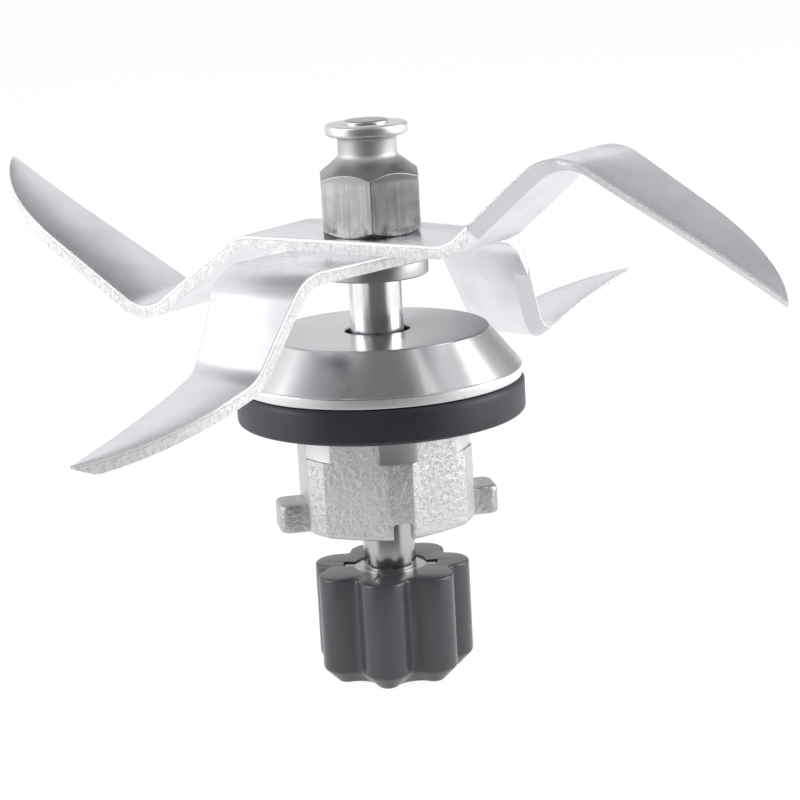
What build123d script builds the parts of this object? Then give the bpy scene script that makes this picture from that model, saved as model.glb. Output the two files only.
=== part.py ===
from build123d import *

import os
from dataclasses import dataclass
from math import copysign, cos, radians, sin, tan

# Blender blade assembly: two bent blades clamped under a cap nut on a shaft, which runs on two ball
# bearings in a cast housing and is driven from below through a lobed coupling.
# Millimetres and degrees. The origin is the centre of the coupling's foot, +Z runs up the shaft, and
# +X runs through one of the housing's two bayonet lugs.

# Clearances
seat_clearance = 0.02  # radial, between pieces that are pressed or clamped together
ball_clearance = 0.09  # between a ball and its grooves
pocket_clearance = 0.06  # between a ball and its cage
running_clearance = 0.3  # between a turning piece and a standing one beside it
lip_clearance = 0.05  # between the seal's lip and the shaft
touch_gap = 0.05  # between the curved washer's crests and its neighbours
cut_margin = 1.0  # how far a cutting shape runs past what it cuts

# Shaft
shaft_radius = 4.0
shaft_flats = 6.7  # across the two flats that drive the blades and the coupling
spigot_step = 0.05  # from the flats in to the round upper end, which passes through the nut
spigot_stand = 0.5  # the peened end above the nut
spigot_chamfer = 0.25
shaft_floor = 2.6  # from the foot of the coupling to the lower end of the shaft
flats_below_nut = 0.3

# Drive coupling
coupling_height = 17.0
coupling_radius = 12.2
coupling_lobes = 7
coupling_lobe_share = 0.303  # radius of a lobe, as a share of the coupling's radius
coupling_valley_share = 0.795  # from the shaft to a valley, as a share of the coupling's radius
coupling_foot_chamfer = 2.3
coupling_top_fillet = 0.5
coupling_lobe_angle = -108.0  # direction of the first lobe

# Metal hub moulded into the coupling
insert_radius = 5.6
insert_key_reach = 7.2
insert_key_width = 2.2
insert_key_count = 4
insert_key_angle = -15.0
insert_sink = 0.25  # below the coupling's upper face

# Housing, from its foot upwards
coupling_to_housing = 7.1
band_height = 5.6
spigot_ring_height = 4.8
rim_height = 1.5
cone_height = 6.1
cast_wall = 2.65  # from the bore to the corners of the casting
cast_wide_half_angle = 22.2  # half of the angle that each wide side spans
cast_sides = 6
cast_foot_fillet = 1.2
band_step = 0.45  # from the corners in to the turned band
spigot_ring_step = 4.3  # from the band out to the spigot that carries the sealing ring
cone_run = 4.55  # how far the cone draws in from the rim to the flange's flat top
flange_edge = 0.2
shaft_hole_radius = 4.95
flange_wall = 3.0
bore_mouth_chamfer = 0.4

# Bayonet lugs
lug_stand = 3.25  # how far a lug stands out past the corners
lug_width = 6.6
lug_height = 4.4
lug_corner = 1.4
lug_edge = 0.6

# Notch in the foot of the housing
notch_width = 3.0
notch_height = 2.7
notch_angle = -90.0

# Sealing ring
ring_width = 4.4
ring_proud = 0.3  # how far the ring stands out past the rim
ring_height = 5.4
ring_upper_fillet = 1.1
ring_lower_fillet = 0.6
ring_stretch = 0.1  # how far the ring stands off the spigot that carries it

# Ball bearings, both alike
bearing_radius = 11.0
bearing_width_share = 1.0  # width of the bearing, as a share of its section
ball_share = 0.2835  # radius of a ball, as a share of the bearing's section
inner_ring_share = 0.286  # thickness of the inner ring, as a share of the section
outer_ring_share = 0.271  # thickness of the outer ring, as a share of the section
ball_count = 7
race_chamfer = 0.3
cage_wall = 0.9
cage_rim = 0.3  # above and below each ball's pocket
shield_thickness = 0.35
shield_depth = 0.35  # from the face of the bearing to the shield
shield_seat_depth = 0.4  # how far the outer ring is opened for the shield

# Stack in the bore
ring_groove_depth = 0.6
housing_ring_depth = 3.2  # from the foot of the housing up to the circlip
housing_ring_thickness = 1.0
housing_ring_width = 1.9
housing_ring_gap_angle = 50.0
housing_ring_ear_radius = 1.5
housing_ring_hole_radius = 0.6
housing_ring_ear_turn = 6.3  # from the end of the ring back to the middle of its ear
washer_thickness = 0.3
washer_bow = 0.4
washer_width = 1.9
spacer_height = 2.8
groove_slack = 0.05

# Clip on the shaft under the lower bearing
shaft_ring_thickness = 0.8
shaft_ring_width = 1.7
shaft_ring_gap_angle = 70.0
shaft_groove_depth = 0.35

# Lip seal
seal_height = 5.0
seal_case_wall = 0.4
seal_case_lid = 0.5
seal_case_margin = 1.7  # from the shaft out to the opening in the case's lid
seal_web = 0.6
seal_lip_thickness = 0.9
seal_spring_radius = 0.45
seal_lip_drop = 3.2

# Collar under the blades
flange_to_collar = 8.35
collar_radius = 8.2
collar_thickness = 2.45
collar_edge = 0.3

# Blades
sheet = 2.0
bend_radius = 5.8  # on the inside of each bend
hub_half_width = 8.4
tip_offset = 1.2  # how far the tip lies behind the middle of its arm
edge_pull = 0.55  # how strongly the back edge keeps its direction, as a share of its length
edge_tip_share = 0.2  # from the tip to the last pull on the back edge, as a share of its length
ground_step = 0.25  # how far grinding has taken the cutting edge back
ground_width = 2.6  # of the ground bevel, on the underside
ground_land = 0.35  # thickness left at the cutting edge
ground_start = 2.0  # from the end of the first bend to the start of the grinding
ground_least_lean = 12.0  # a face that leans out by more than this counts as facing that way
upper_blade_angle = -44.4
lower_blade_angle = 37.1

# Upper blade: the dipped arm bends down and then up, the raised arm up and then down
dipped_flat = 16.7
dipped_riser = 16.1
dipped_wing = 36.5
dipped_first_angle = -35.4
dipped_second_angle = 68.7
raised_flat = 16.3
raised_riser = 14.9
raised_wing = 33.8
raised_first_angle = 40.5
raised_second_angle = -73.3
upper_lead_width = 9.8
upper_lead_length = 20.0
upper_trail_width = 6.2  # half width at the cutting side, at the length below from the tip
upper_trail_length = 32.0
upper_neck_width = 2.7
upper_neck_length = 14.0

# Lower blade: both arms bend steeply down, the shallow one then falls and the deep one rises
shallow_flat = 19.5
shallow_riser = 11.6
shallow_wing = 25.9
shallow_first_angle = -51.2
shallow_second_angle = 35.5
deep_flat = 19.0
deep_riser = 13.1
deep_wing = 23.4
deep_first_angle = -61.3
deep_second_angle = 73.5
lower_lead_width = 8.4
lower_lead_length = 24.0
lower_trail_width = 5.9
lower_trail_length = 32.0
lower_neck_width = 2.3
lower_neck_length = 18.0

# Cap nut
nut_flats = 14.5
nut_corner_height = 8.5  # where the cone meets the corners of the hexagon
nut_cone_angle = 38.0
nut_neck_radius = 4.4
nut_neck_height = 3.1
nut_rim_step = 1.8  # from the neck out to the rim
nut_rim_height = 1.65
nut_foot_step = 0.3  # from the flats in to the foot's edge
nut_foot_angle = 35.0
nut_angle = -98.6  # direction of one corner

# Levels and radii worked out from the sizes above
spigot_radius = shaft_flats / 2 - spigot_step
bearing_section = bearing_radius - shaft_radius
bearing_width = bearing_width_share * bearing_section
pitch_radius = shaft_radius + bearing_section / 2
ball_radius = ball_share * bearing_section
inner_shoulder_radius = shaft_radius + inner_ring_share * bearing_section
outer_shoulder_radius = bearing_radius - outer_ring_share * bearing_section
cage_height = 2 * (ball_radius + pocket_clearance + cage_rim)
cast_corner_radius = bearing_radius + cast_wall
band_radius = cast_corner_radius - band_step
spigot_ring_radius = band_radius + spigot_ring_step
ring_radius = spigot_ring_radius + ring_width
rim_radius = ring_radius - ring_proud
cone_foot_radius = rim_radius - flange_edge
flange_radius = cone_foot_radius - cone_run
lug_reach = cast_corner_radius + lug_stand
nut_corner_radius = nut_flats / 2 / cos(radians(30))
nut_cone_rise = (nut_corner_radius - nut_neck_radius) * tan(radians(nut_cone_angle))
nut_rim_foot = nut_corner_height + nut_cone_rise + nut_neck_height
nut_height = nut_rim_foot + nut_rim_height
nut_rim_radius = nut_neck_radius + nut_rim_step
nut_neck_fillet = nut_rim_step * 2 / 3
nut_rim_fillet = nut_rim_step / 4
nut_foot_radius = nut_flats / 2 - nut_foot_step
coupling_top = coupling_height
housing_foot = coupling_top + coupling_to_housing
washer_height = washer_bow + washer_thickness + 2 * touch_gap
bearings_height = seal_height + 2 * bearing_width + spacer_height
stack_height = bearings_height + washer_height + housing_ring_thickness + housing_ring_depth
upper_height = band_height + spigot_ring_height + rim_height + cone_height
cast_height = stack_height + flange_wall - upper_height
cast_top = housing_foot + cast_height
spigot_ring_foot = cast_top + band_height
rim_foot = spigot_ring_foot + spigot_ring_height
cone_foot = rim_foot + rim_height
flange_top = cone_foot + cone_height
collar_foot = flange_top + flange_to_collar
lower_blade_foot = collar_foot + collar_thickness
upper_blade_foot = lower_blade_foot + sheet
nut_foot = upper_blade_foot + sheet
nut_top = nut_foot + nut_height
shaft_top = nut_top + spigot_stand
bore_top = flange_top - flange_wall
upper_bearing_foot = bore_top - seal_height - bearing_width
spacer_foot = upper_bearing_foot - spacer_height
lower_bearing_foot = spacer_foot - bearing_width
washer_foot = lower_bearing_foot - washer_height
housing_ring_foot = washer_foot - housing_ring_thickness
groove_foot = housing_ring_foot - groove_slack
shaft_ring_top = lower_bearing_foot
shaft_ring_foot = shaft_ring_top - shaft_ring_thickness

far = 2 * (nut_top + dipped_flat + dipped_riser + dipped_wing)  # longer than anything here


def disc(radius, foot, height):
    """A round solid on the shaft's axis."""
    return Pos(0, 0, foot) * extrude(Circle(radius), height)


def sleeve(inner, outer, foot, height):
    """A ring of square section on the shaft's axis."""
    return Pos(0, 0, foot) * extrude(Circle(outer) - Circle(inner), height)


def turned(points):
    """A solid turned about the shaft's axis from (radius, height) points."""
    profile = make_face(Polyline(*points, close=True))
    return revolve(Plane.XZ * profile, Axis.Z)


def torus_at(mean_radius, section_radius, height):
    """A ring of round section on the shaft's axis."""
    section = Pos(mean_radius, height) * Circle(section_radius)
    return revolve(Plane.XZ * section, Axis.Z)


def rounded_bar(radius, flats):
    """The section of a round bar with two flats, which face along X."""
    return Circle(radius) & Rectangle(flats, 2 * radius)


def driving_hole(foot, height):
    """The hole that slips over the flats of the shaft."""
    section = rounded_bar(shaft_radius + seat_clearance, shaft_flats + 2 * seat_clearance)
    return Pos(0, 0, foot) * extrude(section, height)


def make_shaft():
    """The shaft: flats at both ends, a clip groove, and a thinner upper end that is peened over."""
    flats_foot = shaft_floor
    lower_flats = coupling_top - insert_sink - flats_foot
    round_foot = flats_foot + lower_flats
    flats_top = nut_foot - flats_below_nut
    shaft = Pos(0, 0, flats_foot) * extrude(rounded_bar(shaft_radius, shaft_flats), lower_flats)
    shaft += disc(shaft_radius, round_foot, collar_foot - round_foot)
    shaft += Pos(0, 0, collar_foot) * extrude(
        rounded_bar(shaft_radius, shaft_flats), flats_top - collar_foot
    )
    spigot = disc(spigot_radius, flats_top, shaft_top - flats_top)
    spigot = chamfer(spigot.edges().sort_by(Axis.Z)[-1], spigot_chamfer)
    shaft += spigot
    groove_height = shaft_ring_thickness + groove_slack
    groove = sleeve(
        shaft_radius - shaft_groove_depth, 2 * shaft_radius, shaft_ring_top - groove_height, groove_height
    )
    return shaft - groove


def turned_point(point, angle):
    """A point in plan turned about the shaft's axis."""
    x, y = point
    turn = radians(angle)
    return (x * cos(turn) - y * sin(turn), x * sin(turn) + y * cos(turn))


def coupling_outline():
    """Round lobes joined by round valleys, each arc tangent to the next."""
    half_step = 180 / coupling_lobes
    lobe = coupling_lobe_share * coupling_radius
    valley = coupling_valley_share * coupling_radius
    centre = coupling_radius - lobe
    waist = centre * cos(radians(half_step))
    hollow = lobe**2 - centre**2 - valley**2 + 2 * valley * waist
    hollow /= 2 * (valley - waist - lobe)
    hollow_centre = turned_point((valley + hollow, 0), half_step)
    share = lobe / (lobe + hollow)
    touch = (centre + (hollow_centre[0] - centre) * share, hollow_centre[1] * share)
    before = (touch[0], -touch[1])
    edges = []
    for count in range(coupling_lobes):
        turn = coupling_lobe_angle + 2 * half_step * count
        start = turned_point(before, turn)
        top = turned_point((coupling_radius, 0), turn)
        end = turned_point(touch, turn)
        low = turned_point((valley, 0), turn + half_step)
        after = turned_point(before, turn + 2 * half_step)
        edges.append(ThreePointArc(start, top, end))
        edges.append(ThreePointArc(end, low, after))
    return make_face(edges)


def insert_outline(growth=0.0):
    """The round hub with its outward keys, grown by a clearance where it is a cavity."""
    key_length = insert_key_reach + growth
    key = Pos(key_length / 2, 0) * Rectangle(key_length, insert_key_width + 2 * growth)
    keys = PolarLocations(0, insert_key_count) * key
    return Rot(0, 0, insert_key_angle) * (Circle(insert_radius + growth) + keys)


def make_drive_coupling():
    """The lobed moulding, chamfered at its foot, with the hub's cavity open at the top."""
    body = extrude(coupling_outline(), coupling_height)
    body = chamfer(body.faces().sort_by(Axis.Z)[0].edges(), coupling_foot_chamfer)
    body = fillet(body.faces().sort_by(Axis.Z)[-1].outer_wire().edges(), coupling_top_fillet)
    cavity = extrude(insert_outline(seat_clearance), far)
    return body - Pos(0, 0, shaft_floor) * cavity


def make_coupling_insert():
    """The keyed metal hub, driven by the flats of the shaft."""
    height = coupling_top - insert_sink - shaft_floor
    hub = Pos(0, 0, shaft_floor) * extrude(insert_outline(), height)
    return hub - driving_hole(shaft_floor, height)


def cast_outline():
    """Twelve sides, wide and narrow in turn, with a wide one facing each lug."""
    step = 360 / cast_sides
    corners = []
    for side in range(cast_sides):
        for offset in (-cast_wide_half_angle, cast_wide_half_angle):
            angle = radians(side * step + offset)
            corners.append((cast_corner_radius * cos(angle), cast_corner_radius * sin(angle)))
    return make_face(Polyline(*corners, close=True))


def make_lug():
    """One bayonet lug, rounded at its outer corners, which starts inside the casting's wall."""
    root = cast_corner_radius * cos(radians(cast_wide_half_angle)) - cast_foot_fillet - seat_clearance
    block = Pos((root + lug_reach) / 2, 0, housing_foot) * extrude(
        Rectangle(lug_reach - root, lug_width), lug_height
    )
    outer = block.edges().filter_by(Axis.Z).sort_by(Axis.X)[-2:]
    block = fillet(outer, lug_corner)
    rims = block.faces().filter_by(Axis.Z).edges().filter_by(lambda e: e.center().X > root + lug_edge)
    return fillet(rims, lug_edge)


def make_housing():
    """The casting: flange and cone above, twelve-sided body below, bored from its foot."""
    flange = turned(
        [
            (0, spigot_ring_foot),
            (spigot_ring_radius, spigot_ring_foot),
            (spigot_ring_radius, rim_foot),
            (rim_radius, rim_foot),
            (rim_radius, cone_foot),
            (cone_foot_radius, cone_foot + flange_edge),
            (flange_radius, flange_top - flange_edge),
            (flange_radius - flange_edge, flange_top),
            (0, flange_top),
        ]
    )
    cast = Pos(0, 0, housing_foot) * extrude(cast_outline(), cast_height)
    cast = fillet(cast.faces().sort_by(Axis.Z)[0].edges(), cast_foot_fillet)
    band_blank = Pos(0, 0, cast_top) * extrude(cast_outline(), band_height)
    band = band_blank & disc(band_radius, cast_top, band_height)
    body = flange + cast + band
    for turn in (0, 180):
        body += Rot(0, 0, turn) * make_lug()
    bore = disc(bearing_radius + seat_clearance, housing_foot, bore_top - housing_foot)
    mouth = turned(
        [
            (0, housing_foot),
            (bearing_radius + seat_clearance + bore_mouth_chamfer, housing_foot),
            (bearing_radius + seat_clearance, housing_foot + bore_mouth_chamfer),
            (0, housing_foot + bore_mouth_chamfer),
        ]
    )
    groove = disc(
        bearing_radius + ring_groove_depth, groove_foot, housing_ring_thickness + 2 * groove_slack
    )
    shaft_hole = disc(shaft_hole_radius, bore_top, flange_wall)
    notch = Rot(0, 0, notch_angle) * Pos(cast_corner_radius, 0, housing_foot + notch_height / 2) * Box(
        cast_corner_radius, notch_width, notch_height
    )
    return body - bore - mouth - groove - shaft_hole - notch


def make_sealing_ring():
    """The rubber ring stretched over the spigot under the rim."""
    ring = sleeve(spigot_ring_radius + ring_stretch, ring_radius, rim_foot - ring_height, ring_height)
    outer = ring.edges().filter_by(GeomType.CIRCLE).filter_by(lambda e: e.radius > ring_radius - seat_clearance)
    outer = outer.sort_by(Axis.Z)
    ring = fillet(outer[-1], ring_upper_fillet)
    lower = ring.edges().filter_by(GeomType.CIRCLE).filter_by(lambda e: e.radius > ring_radius - seat_clearance)
    return fillet(lower.sort_by(Axis.Z)[0], ring_lower_fillet)


def make_bearing_inner_ring(foot):
    """The inner race, with its groove for the balls."""
    ring = sleeve(shaft_radius + seat_clearance, inner_shoulder_radius, foot, bearing_width)
    ring = chamfer(ring.edges().filter_by(GeomType.CIRCLE).sort_by(SortBy.RADIUS)[:2], race_chamfer)
    return ring - torus_at(pitch_radius, ball_radius + ball_clearance, foot + bearing_width / 2)


def make_bearing_outer_ring(foot):
    """The outer race, with its groove and a seat for a shield at each face."""
    ring = sleeve(outer_shoulder_radius, bearing_radius, foot, bearing_width)
    ring = chamfer(ring.edges().filter_by(GeomType.CIRCLE).sort_by(SortBy.RADIUS)[-2:], race_chamfer)
    ring -= torus_at(pitch_radius, ball_radius + ball_clearance, foot + bearing_width / 2)
    seat = shield_depth + shield_thickness
    for level in (foot, foot + bearing_width - seat):
        ring -= disc(outer_shoulder_radius + shield_seat_depth, level, seat)
    return ring


def make_bearing_shields(foot):
    """The two pressed shields, which clear the inner race."""
    inner = inner_shoulder_radius + running_clearance
    outer = outer_shoulder_radius + shield_seat_depth - seat_clearance
    lower = sleeve(inner, outer, foot + shield_depth, shield_thickness)
    upper_foot = foot + bearing_width - shield_depth - shield_thickness
    upper = sleeve(inner, outer, upper_foot, shield_thickness)
    return Compound([*lower.solids(), *upper.solids()])


def make_bearing_balls(foot):
    """The balls of one bearing."""
    balls = []
    for turn in range(ball_count):
        place = Rot(0, 0, turn * 360 / ball_count) * Pos(pitch_radius, 0, foot + bearing_width / 2)
        balls += (place * Sphere(ball_radius)).solids()
    return Compound(balls)


def make_bearing_cage(foot):
    """The ring that spaces the balls, with a round pocket for each."""
    middle = foot + bearing_width / 2
    ring = sleeve(
        pitch_radius - cage_wall / 2, pitch_radius + cage_wall / 2, middle - cage_height / 2, cage_height
    )
    for turn in range(ball_count):
        place = Rot(0, 0, turn * 360 / ball_count) * Pos(pitch_radius, 0, middle) * Rot(0, 90, 0)
        ring -= place * Cylinder(ball_radius + pocket_clearance, 2 * cage_wall)
    return ring


def make_seal_case():
    """The pressed steel case: a lid with a round opening and a wall down to the bearing."""
    wall = sleeve(
        bearing_radius - seal_case_wall, bearing_radius, bore_top - seal_height, seal_height
    )
    lid = sleeve(shaft_radius + seal_case_margin, bearing_radius, bore_top - seal_case_lid, seal_case_lid)
    return wall + lid


def make_lip_seal():
    """The rubber under the lid: a flat web, a neck and a lip that points at the shaft."""
    top = bore_top - seal_case_lid
    outer = bearing_radius - seal_case_wall - seat_clearance
    lip = shaft_radius + lip_clearance
    neck = lip + seal_lip_thickness
    back = neck + seal_lip_thickness
    lip_level = bore_top - seal_lip_drop
    rubber = turned(
        [
            (neck, top),
            (outer, top),
            (outer, top - seal_web),
            (back, top - seal_web),
            (back, lip_level - seal_lip_thickness),
            (neck, lip_level - seal_lip_thickness),
            (lip, lip_level),
            (neck, lip_level + seal_lip_thickness),
        ]
    )
    return rubber - torus_at(back + seal_spring_radius / 2, seal_spring_radius + seat_clearance, lip_level)


def make_garter_spring():
    """The spring ring in the groove behind the lip."""
    back = shaft_radius + lip_clearance + 2 * seal_lip_thickness
    return torus_at(back + seal_spring_radius / 2, seal_spring_radius, bore_top - seal_lip_drop)


def make_outer_spacer():
    """The ring between the two outer races."""
    return sleeve(outer_shoulder_radius, bearing_radius, spacer_foot, spacer_height)


def make_inner_spacer():
    """The sleeve between the two inner races."""
    return sleeve(shaft_radius + seat_clearance, inner_shoulder_radius, spacer_foot, spacer_height)


def make_curved_washer():
    """A flat ring bowed about one axis, which presses the lower outer race upwards."""
    half = bearing_radius
    low = washer_foot + touch_gap + washer_thickness / 2
    bow = ThreePointArc((-half, low), (0, low + washer_bow), (half, low))
    strip = extrude(Plane.XZ * trace(bow, washer_thickness), half, both=True)
    outer = bearing_radius - touch_gap
    ring = sleeve(outer - washer_width, outer, washer_foot - washer_bow, 3 * washer_bow + washer_thickness)
    return strip & ring


def open_ring(inner, outer, gap_angle):
    """A flat ring with a gap that faces along X."""
    half_gap = radians(gap_angle / 2)
    reach = 2 * outer
    wedge = make_face(
        Polyline(
            (0, 0),
            (reach * cos(half_gap), reach * sin(half_gap)),
            (reach * cos(half_gap), -reach * sin(half_gap)),
            close=True,
        )
    )
    return Circle(outer) - Circle(inner) - wedge


def make_housing_retaining_ring():
    """The internal circlip: an open ring with an eared end each side of its gap."""
    outer = bearing_radius + ring_groove_depth - seat_clearance
    ear_place = outer - housing_ring_width
    ring = open_ring(outer - housing_ring_width, outer, housing_ring_gap_angle)
    for turn in (-1, 1):
        ear_angle = turn * (housing_ring_gap_angle / 2 + housing_ring_ear_turn)
        ear = Rot(0, 0, ear_angle) * Pos(ear_place, 0) * Circle(housing_ring_ear_radius)
        hole = Rot(0, 0, ear_angle) * Pos(ear_place, 0) * Circle(housing_ring_hole_radius)
        ring = ring + ear - hole
    clip = Pos(0, 0, housing_ring_foot) * extrude(ring, housing_ring_thickness)
    return Rot(0, 0, 90) * clip


def make_shaft_retaining_ring():
    """The external clip in the groove under the lower inner race."""
    inner = shaft_radius - shaft_groove_depth + seat_clearance
    outer = inner + shaft_ring_width
    ring = open_ring(inner, outer, shaft_ring_gap_angle)
    return Pos(0, 0, shaft_ring_foot) * extrude(ring, shaft_ring_thickness)


def make_collar():
    """The washer that carries the blades, driven by the flats."""
    ring = disc(collar_radius, collar_foot, collar_thickness)
    ring = chamfer(ring.edges().filter_by(GeomType.CIRCLE), collar_edge)
    return ring - driving_hole(collar_foot, collar_thickness)


@dataclass(frozen=True)
class Arm:
    """One bent arm of a blade: three flat stretches joined by two bends, upward bends positive."""

    flat: float
    first_bend: float
    riser: float
    second_bend: float
    wing: float

    def steps(self):
        """The stretches in order from the shaft, as (length, turn) with one of the two zero."""
        return [
            (self.flat, 0),
            (0, self.first_bend),
            (self.riser, 0),
            (0, self.second_bend),
            (self.wing, 0),
        ]

    def second_length(self):
        """The length of the second bend along the middle of the sheet."""
        return (bend_radius + sheet / 2) * radians(abs(self.second_bend))

    def length(self):
        """The developed length along the middle of the sheet."""
        turns = radians(abs(self.first_bend) + abs(self.second_bend))
        return self.flat + self.riser + self.wing + (bend_radius + sheet / 2) * turns

    def ground_reach(self):
        """How far from the shaft the grinding starts, in plan."""
        return self.reach(self.riser + self.second_length() + self.wing - ground_start)

    def reach(self, from_tip):
        """How far from the shaft a point lies in plan, given its developed distance from the tip."""
        left = self.length() - from_tip
        heading = 0.0
        out = 0.0
        middle = bend_radius + sheet / 2
        for stretch, turn in self.steps():
            along = stretch if turn == 0 else middle * radians(abs(turn))
            part = min(left, along)
            if turn == 0:
                out += part * cos(heading)
            else:
                end = heading + copysign(part / middle, turn)
                out += copysign(middle, turn) * (sin(end) - sin(heading))
                heading = end
            left -= part
        return out


def side_line(arm, side, offset):
    """One face of a bent arm, as lines and arcs from the shaft outwards, offset from the middle."""
    edges = []
    point = Vector(0, offset)
    heading = Vector(side, 0)
    for stretch, turn in arm.steps():
        if turn == 0:
            edge = Line(point, point + heading * stretch)
        else:
            radius = bend_radius + sheet / 2 - copysign(offset, offset * turn)
            edge = JernArc(point, heading, radius, side * turn)
        edges.append(edge)
        point = edge @ 1
        heading = edge % 1
    return edges


def side_face(low_side, high_side):
    """The blade seen from its side: the sheet's two faces and its two ends."""
    half = sheet / 2
    edges = []
    for arm, side in ((low_side, -1), (high_side, 1)):
        over = side_line(arm, side, half)
        under = side_line(arm, side, -half)
        edges += over + under
        edges.append(Line(over[-1] @ 1, under[-1] @ 1))
    return make_face(edges)


def plan_edges(arm, lead, trail, side):
    """One arm's two edges seen from above: a bowed back and a ground edge that draws in to the tip."""
    lead_width, lead_length = lead
    trail_width, trail_length, neck_width, neck_length = trail
    tip = (arm.reach(0), -tip_offset)
    shoulder = (arm.reach(lead_length), lead_width)
    bow = [
        shoulder,
        (arm.reach(lead_length * edge_pull), lead_width),
        (arm.reach(lead_length * edge_tip_share), lead_width * edge_pull),
        tip,
    ]
    start = (arm.ground_reach(), ground_step - hub_half_width)
    heel = (arm.reach(trail_length), ground_step - trail_width)
    neck = (arm.reach(neck_length), -neck_width)
    hub = (start[0], -hub_half_width)
    lines = [
        Line((0, hub_half_width), (arm.flat, hub_half_width)),
        Line((arm.flat, hub_half_width), shoulder),
        Bezier(*bow),
        Spline(tip, neck, heel, start),
        Line(start, hub),
        Line(hub, (0, -hub_half_width)),
    ]
    turn = Rot(0, 0, 0 if side > 0 else 180)
    return [turn * line for line in lines]


def grind(blade, arm, side):
    """Bevels the underside of one arm along its cutting edge, from the first bend to the tip."""
    start = arm.ground_reach()
    lean = sin(radians(ground_least_lean))
    under = [e @ 0.5 for f in blade.faces() if f.normal_at().Z < -lean for e in f.edges()]
    for wall in blade.faces().sort_by(lambda f: side * f.center().X):
        outward = wall.normal_at()
        if side * outward.Y > -lean or side * wall.center().X < start:
            continue
        for edge in wall.edges():
            if any((edge @ 0.5 - point).length < seat_clearance for point in under):
                return chamfer(edge, sheet - ground_land, ground_width, reference=wall)
    return blade


def make_blade(low_side, high_side, lead, trail, angle, foot):
    """A bent sheet: its side view carried across, cut to its plan, ground, with the shaft's hole."""
    middle = foot + sheet / 2
    strip = extrude(Plane.XZ * side_face(low_side, high_side), far, both=True)
    plan = make_face(plan_edges(high_side, lead, trail, 1) + plan_edges(low_side, lead, trail, -1))
    blade = strip & extrude(plan, far, both=True)
    blade = grind(blade, high_side, 1)
    blade = grind(blade, low_side, -1)
    blade = Rot(0, 0, angle) * Pos(0, 0, middle) * blade
    return blade - driving_hole(foot - sheet, 3 * sheet)


def make_upper_blade():
    """The blade with one dipped and one raised arm."""
    dipped = Arm(dipped_flat, dipped_first_angle, dipped_riser, dipped_second_angle, dipped_wing)
    raised = Arm(raised_flat, raised_first_angle, raised_riser, raised_second_angle, raised_wing)
    lead = (upper_lead_width, upper_lead_length)
    trail = (upper_trail_width, upper_trail_length, upper_neck_width, upper_neck_length)
    return make_blade(dipped, raised, lead, trail, upper_blade_angle, upper_blade_foot)


def make_lower_blade():
    """The blade whose two arms both drop past the flange."""
    shallow = Arm(shallow_flat, shallow_first_angle, shallow_riser, shallow_second_angle, shallow_wing)
    deep = Arm(deep_flat, deep_first_angle, deep_riser, deep_second_angle, deep_wing)
    lead = (lower_lead_width, lower_lead_length)
    trail = (lower_trail_width, lower_trail_length, lower_neck_width, lower_neck_length)
    return make_blade(shallow, deep, lead, trail, lower_blade_angle, lower_blade_foot)


def make_cap_nut():
    """A hexagon cut by a cone at each end, a waisted neck and a rim, bored for the shaft's spigot."""
    wide = nut_corner_radius + cut_margin
    foot_rise = (wide - nut_foot_radius) * tan(radians(nut_foot_angle))
    cone_drop = cut_margin * tan(radians(nut_cone_angle))
    bore = spigot_radius + seat_clearance
    profile = make_face(
        Polyline(
            (bore, 0),
            (nut_foot_radius, 0),
            (wide, foot_rise),
            (wide, nut_corner_height - cone_drop),
            (nut_neck_radius, nut_corner_height + nut_cone_rise),
            (nut_neck_radius, nut_rim_foot),
            (nut_rim_radius, nut_rim_foot),
            (nut_rim_radius, nut_height),
            (bore, nut_height),
            close=True,
        )
    )
    near = seat_clearance
    high = profile.vertices().filter_by(lambda v: v.Y > nut_rim_foot - near)
    profile = fillet(high.filter_by(lambda v: v.X > nut_rim_radius - near), nut_rim_fillet)
    neck = profile.vertices().filter_by(lambda v: abs(v.X - nut_neck_radius) < near)
    profile = fillet(neck, nut_neck_fillet)
    nut = revolve(Plane.XZ * profile, Axis.Z)
    hexagon = extrude(RegularPolygon(nut_corner_radius, 6), nut_height)
    return Rot(0, 0, nut_angle) * Pos(0, 0, nut_foot) * (nut & hexagon)


def build_parts():
    """Every piece by name."""
    pieces = {
        "shaft": make_shaft(),
        "cap_nut": make_cap_nut(),
        "upper_blade": make_upper_blade(),
        "lower_blade": make_lower_blade(),
        "blade_collar": make_collar(),
        "housing": make_housing(),
        "sealing_ring": make_sealing_ring(),
        "drive_coupling": make_drive_coupling(),
        "coupling_insert": make_coupling_insert(),
        "seal_case": make_seal_case(),
        "lip_seal": make_lip_seal(),
        "garter_spring": make_garter_spring(),
        "outer_spacer": make_outer_spacer(),
        "inner_spacer": make_inner_spacer(),
        "curved_washer": make_curved_washer(),
        "housing_retaining_ring": make_housing_retaining_ring(),
        "shaft_retaining_ring": make_shaft_retaining_ring(),
    }
    for place, foot in (("upper", upper_bearing_foot), ("lower", lower_bearing_foot)):
        pieces[f"{place}_bearing_inner_ring"] = make_bearing_inner_ring(foot)
        pieces[f"{place}_bearing_outer_ring"] = make_bearing_outer_ring(foot)
        pieces[f"{place}_bearing_shields"] = make_bearing_shields(foot)
        pieces[f"{place}_bearing_balls"] = make_bearing_balls(foot)
        pieces[f"{place}_bearing_cage"] = make_bearing_cage(foot)
    return pieces


def main():
    """Writes each piece to its own file."""
    os.makedirs("parts", exist_ok=True)
    for name, piece in build_parts().items():
        export_step(piece, f"parts/{name}.step")


main()
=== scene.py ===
import logging
from dataclasses import dataclass
from enum import Enum
from math import cos, pi, radians, sin, tan
from typing import Any, Iterator, Mapping, Sequence

import bmesh
import bpy
import numpy as np
from mathutils import Matrix
from numpy.typing import NDArray


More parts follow.
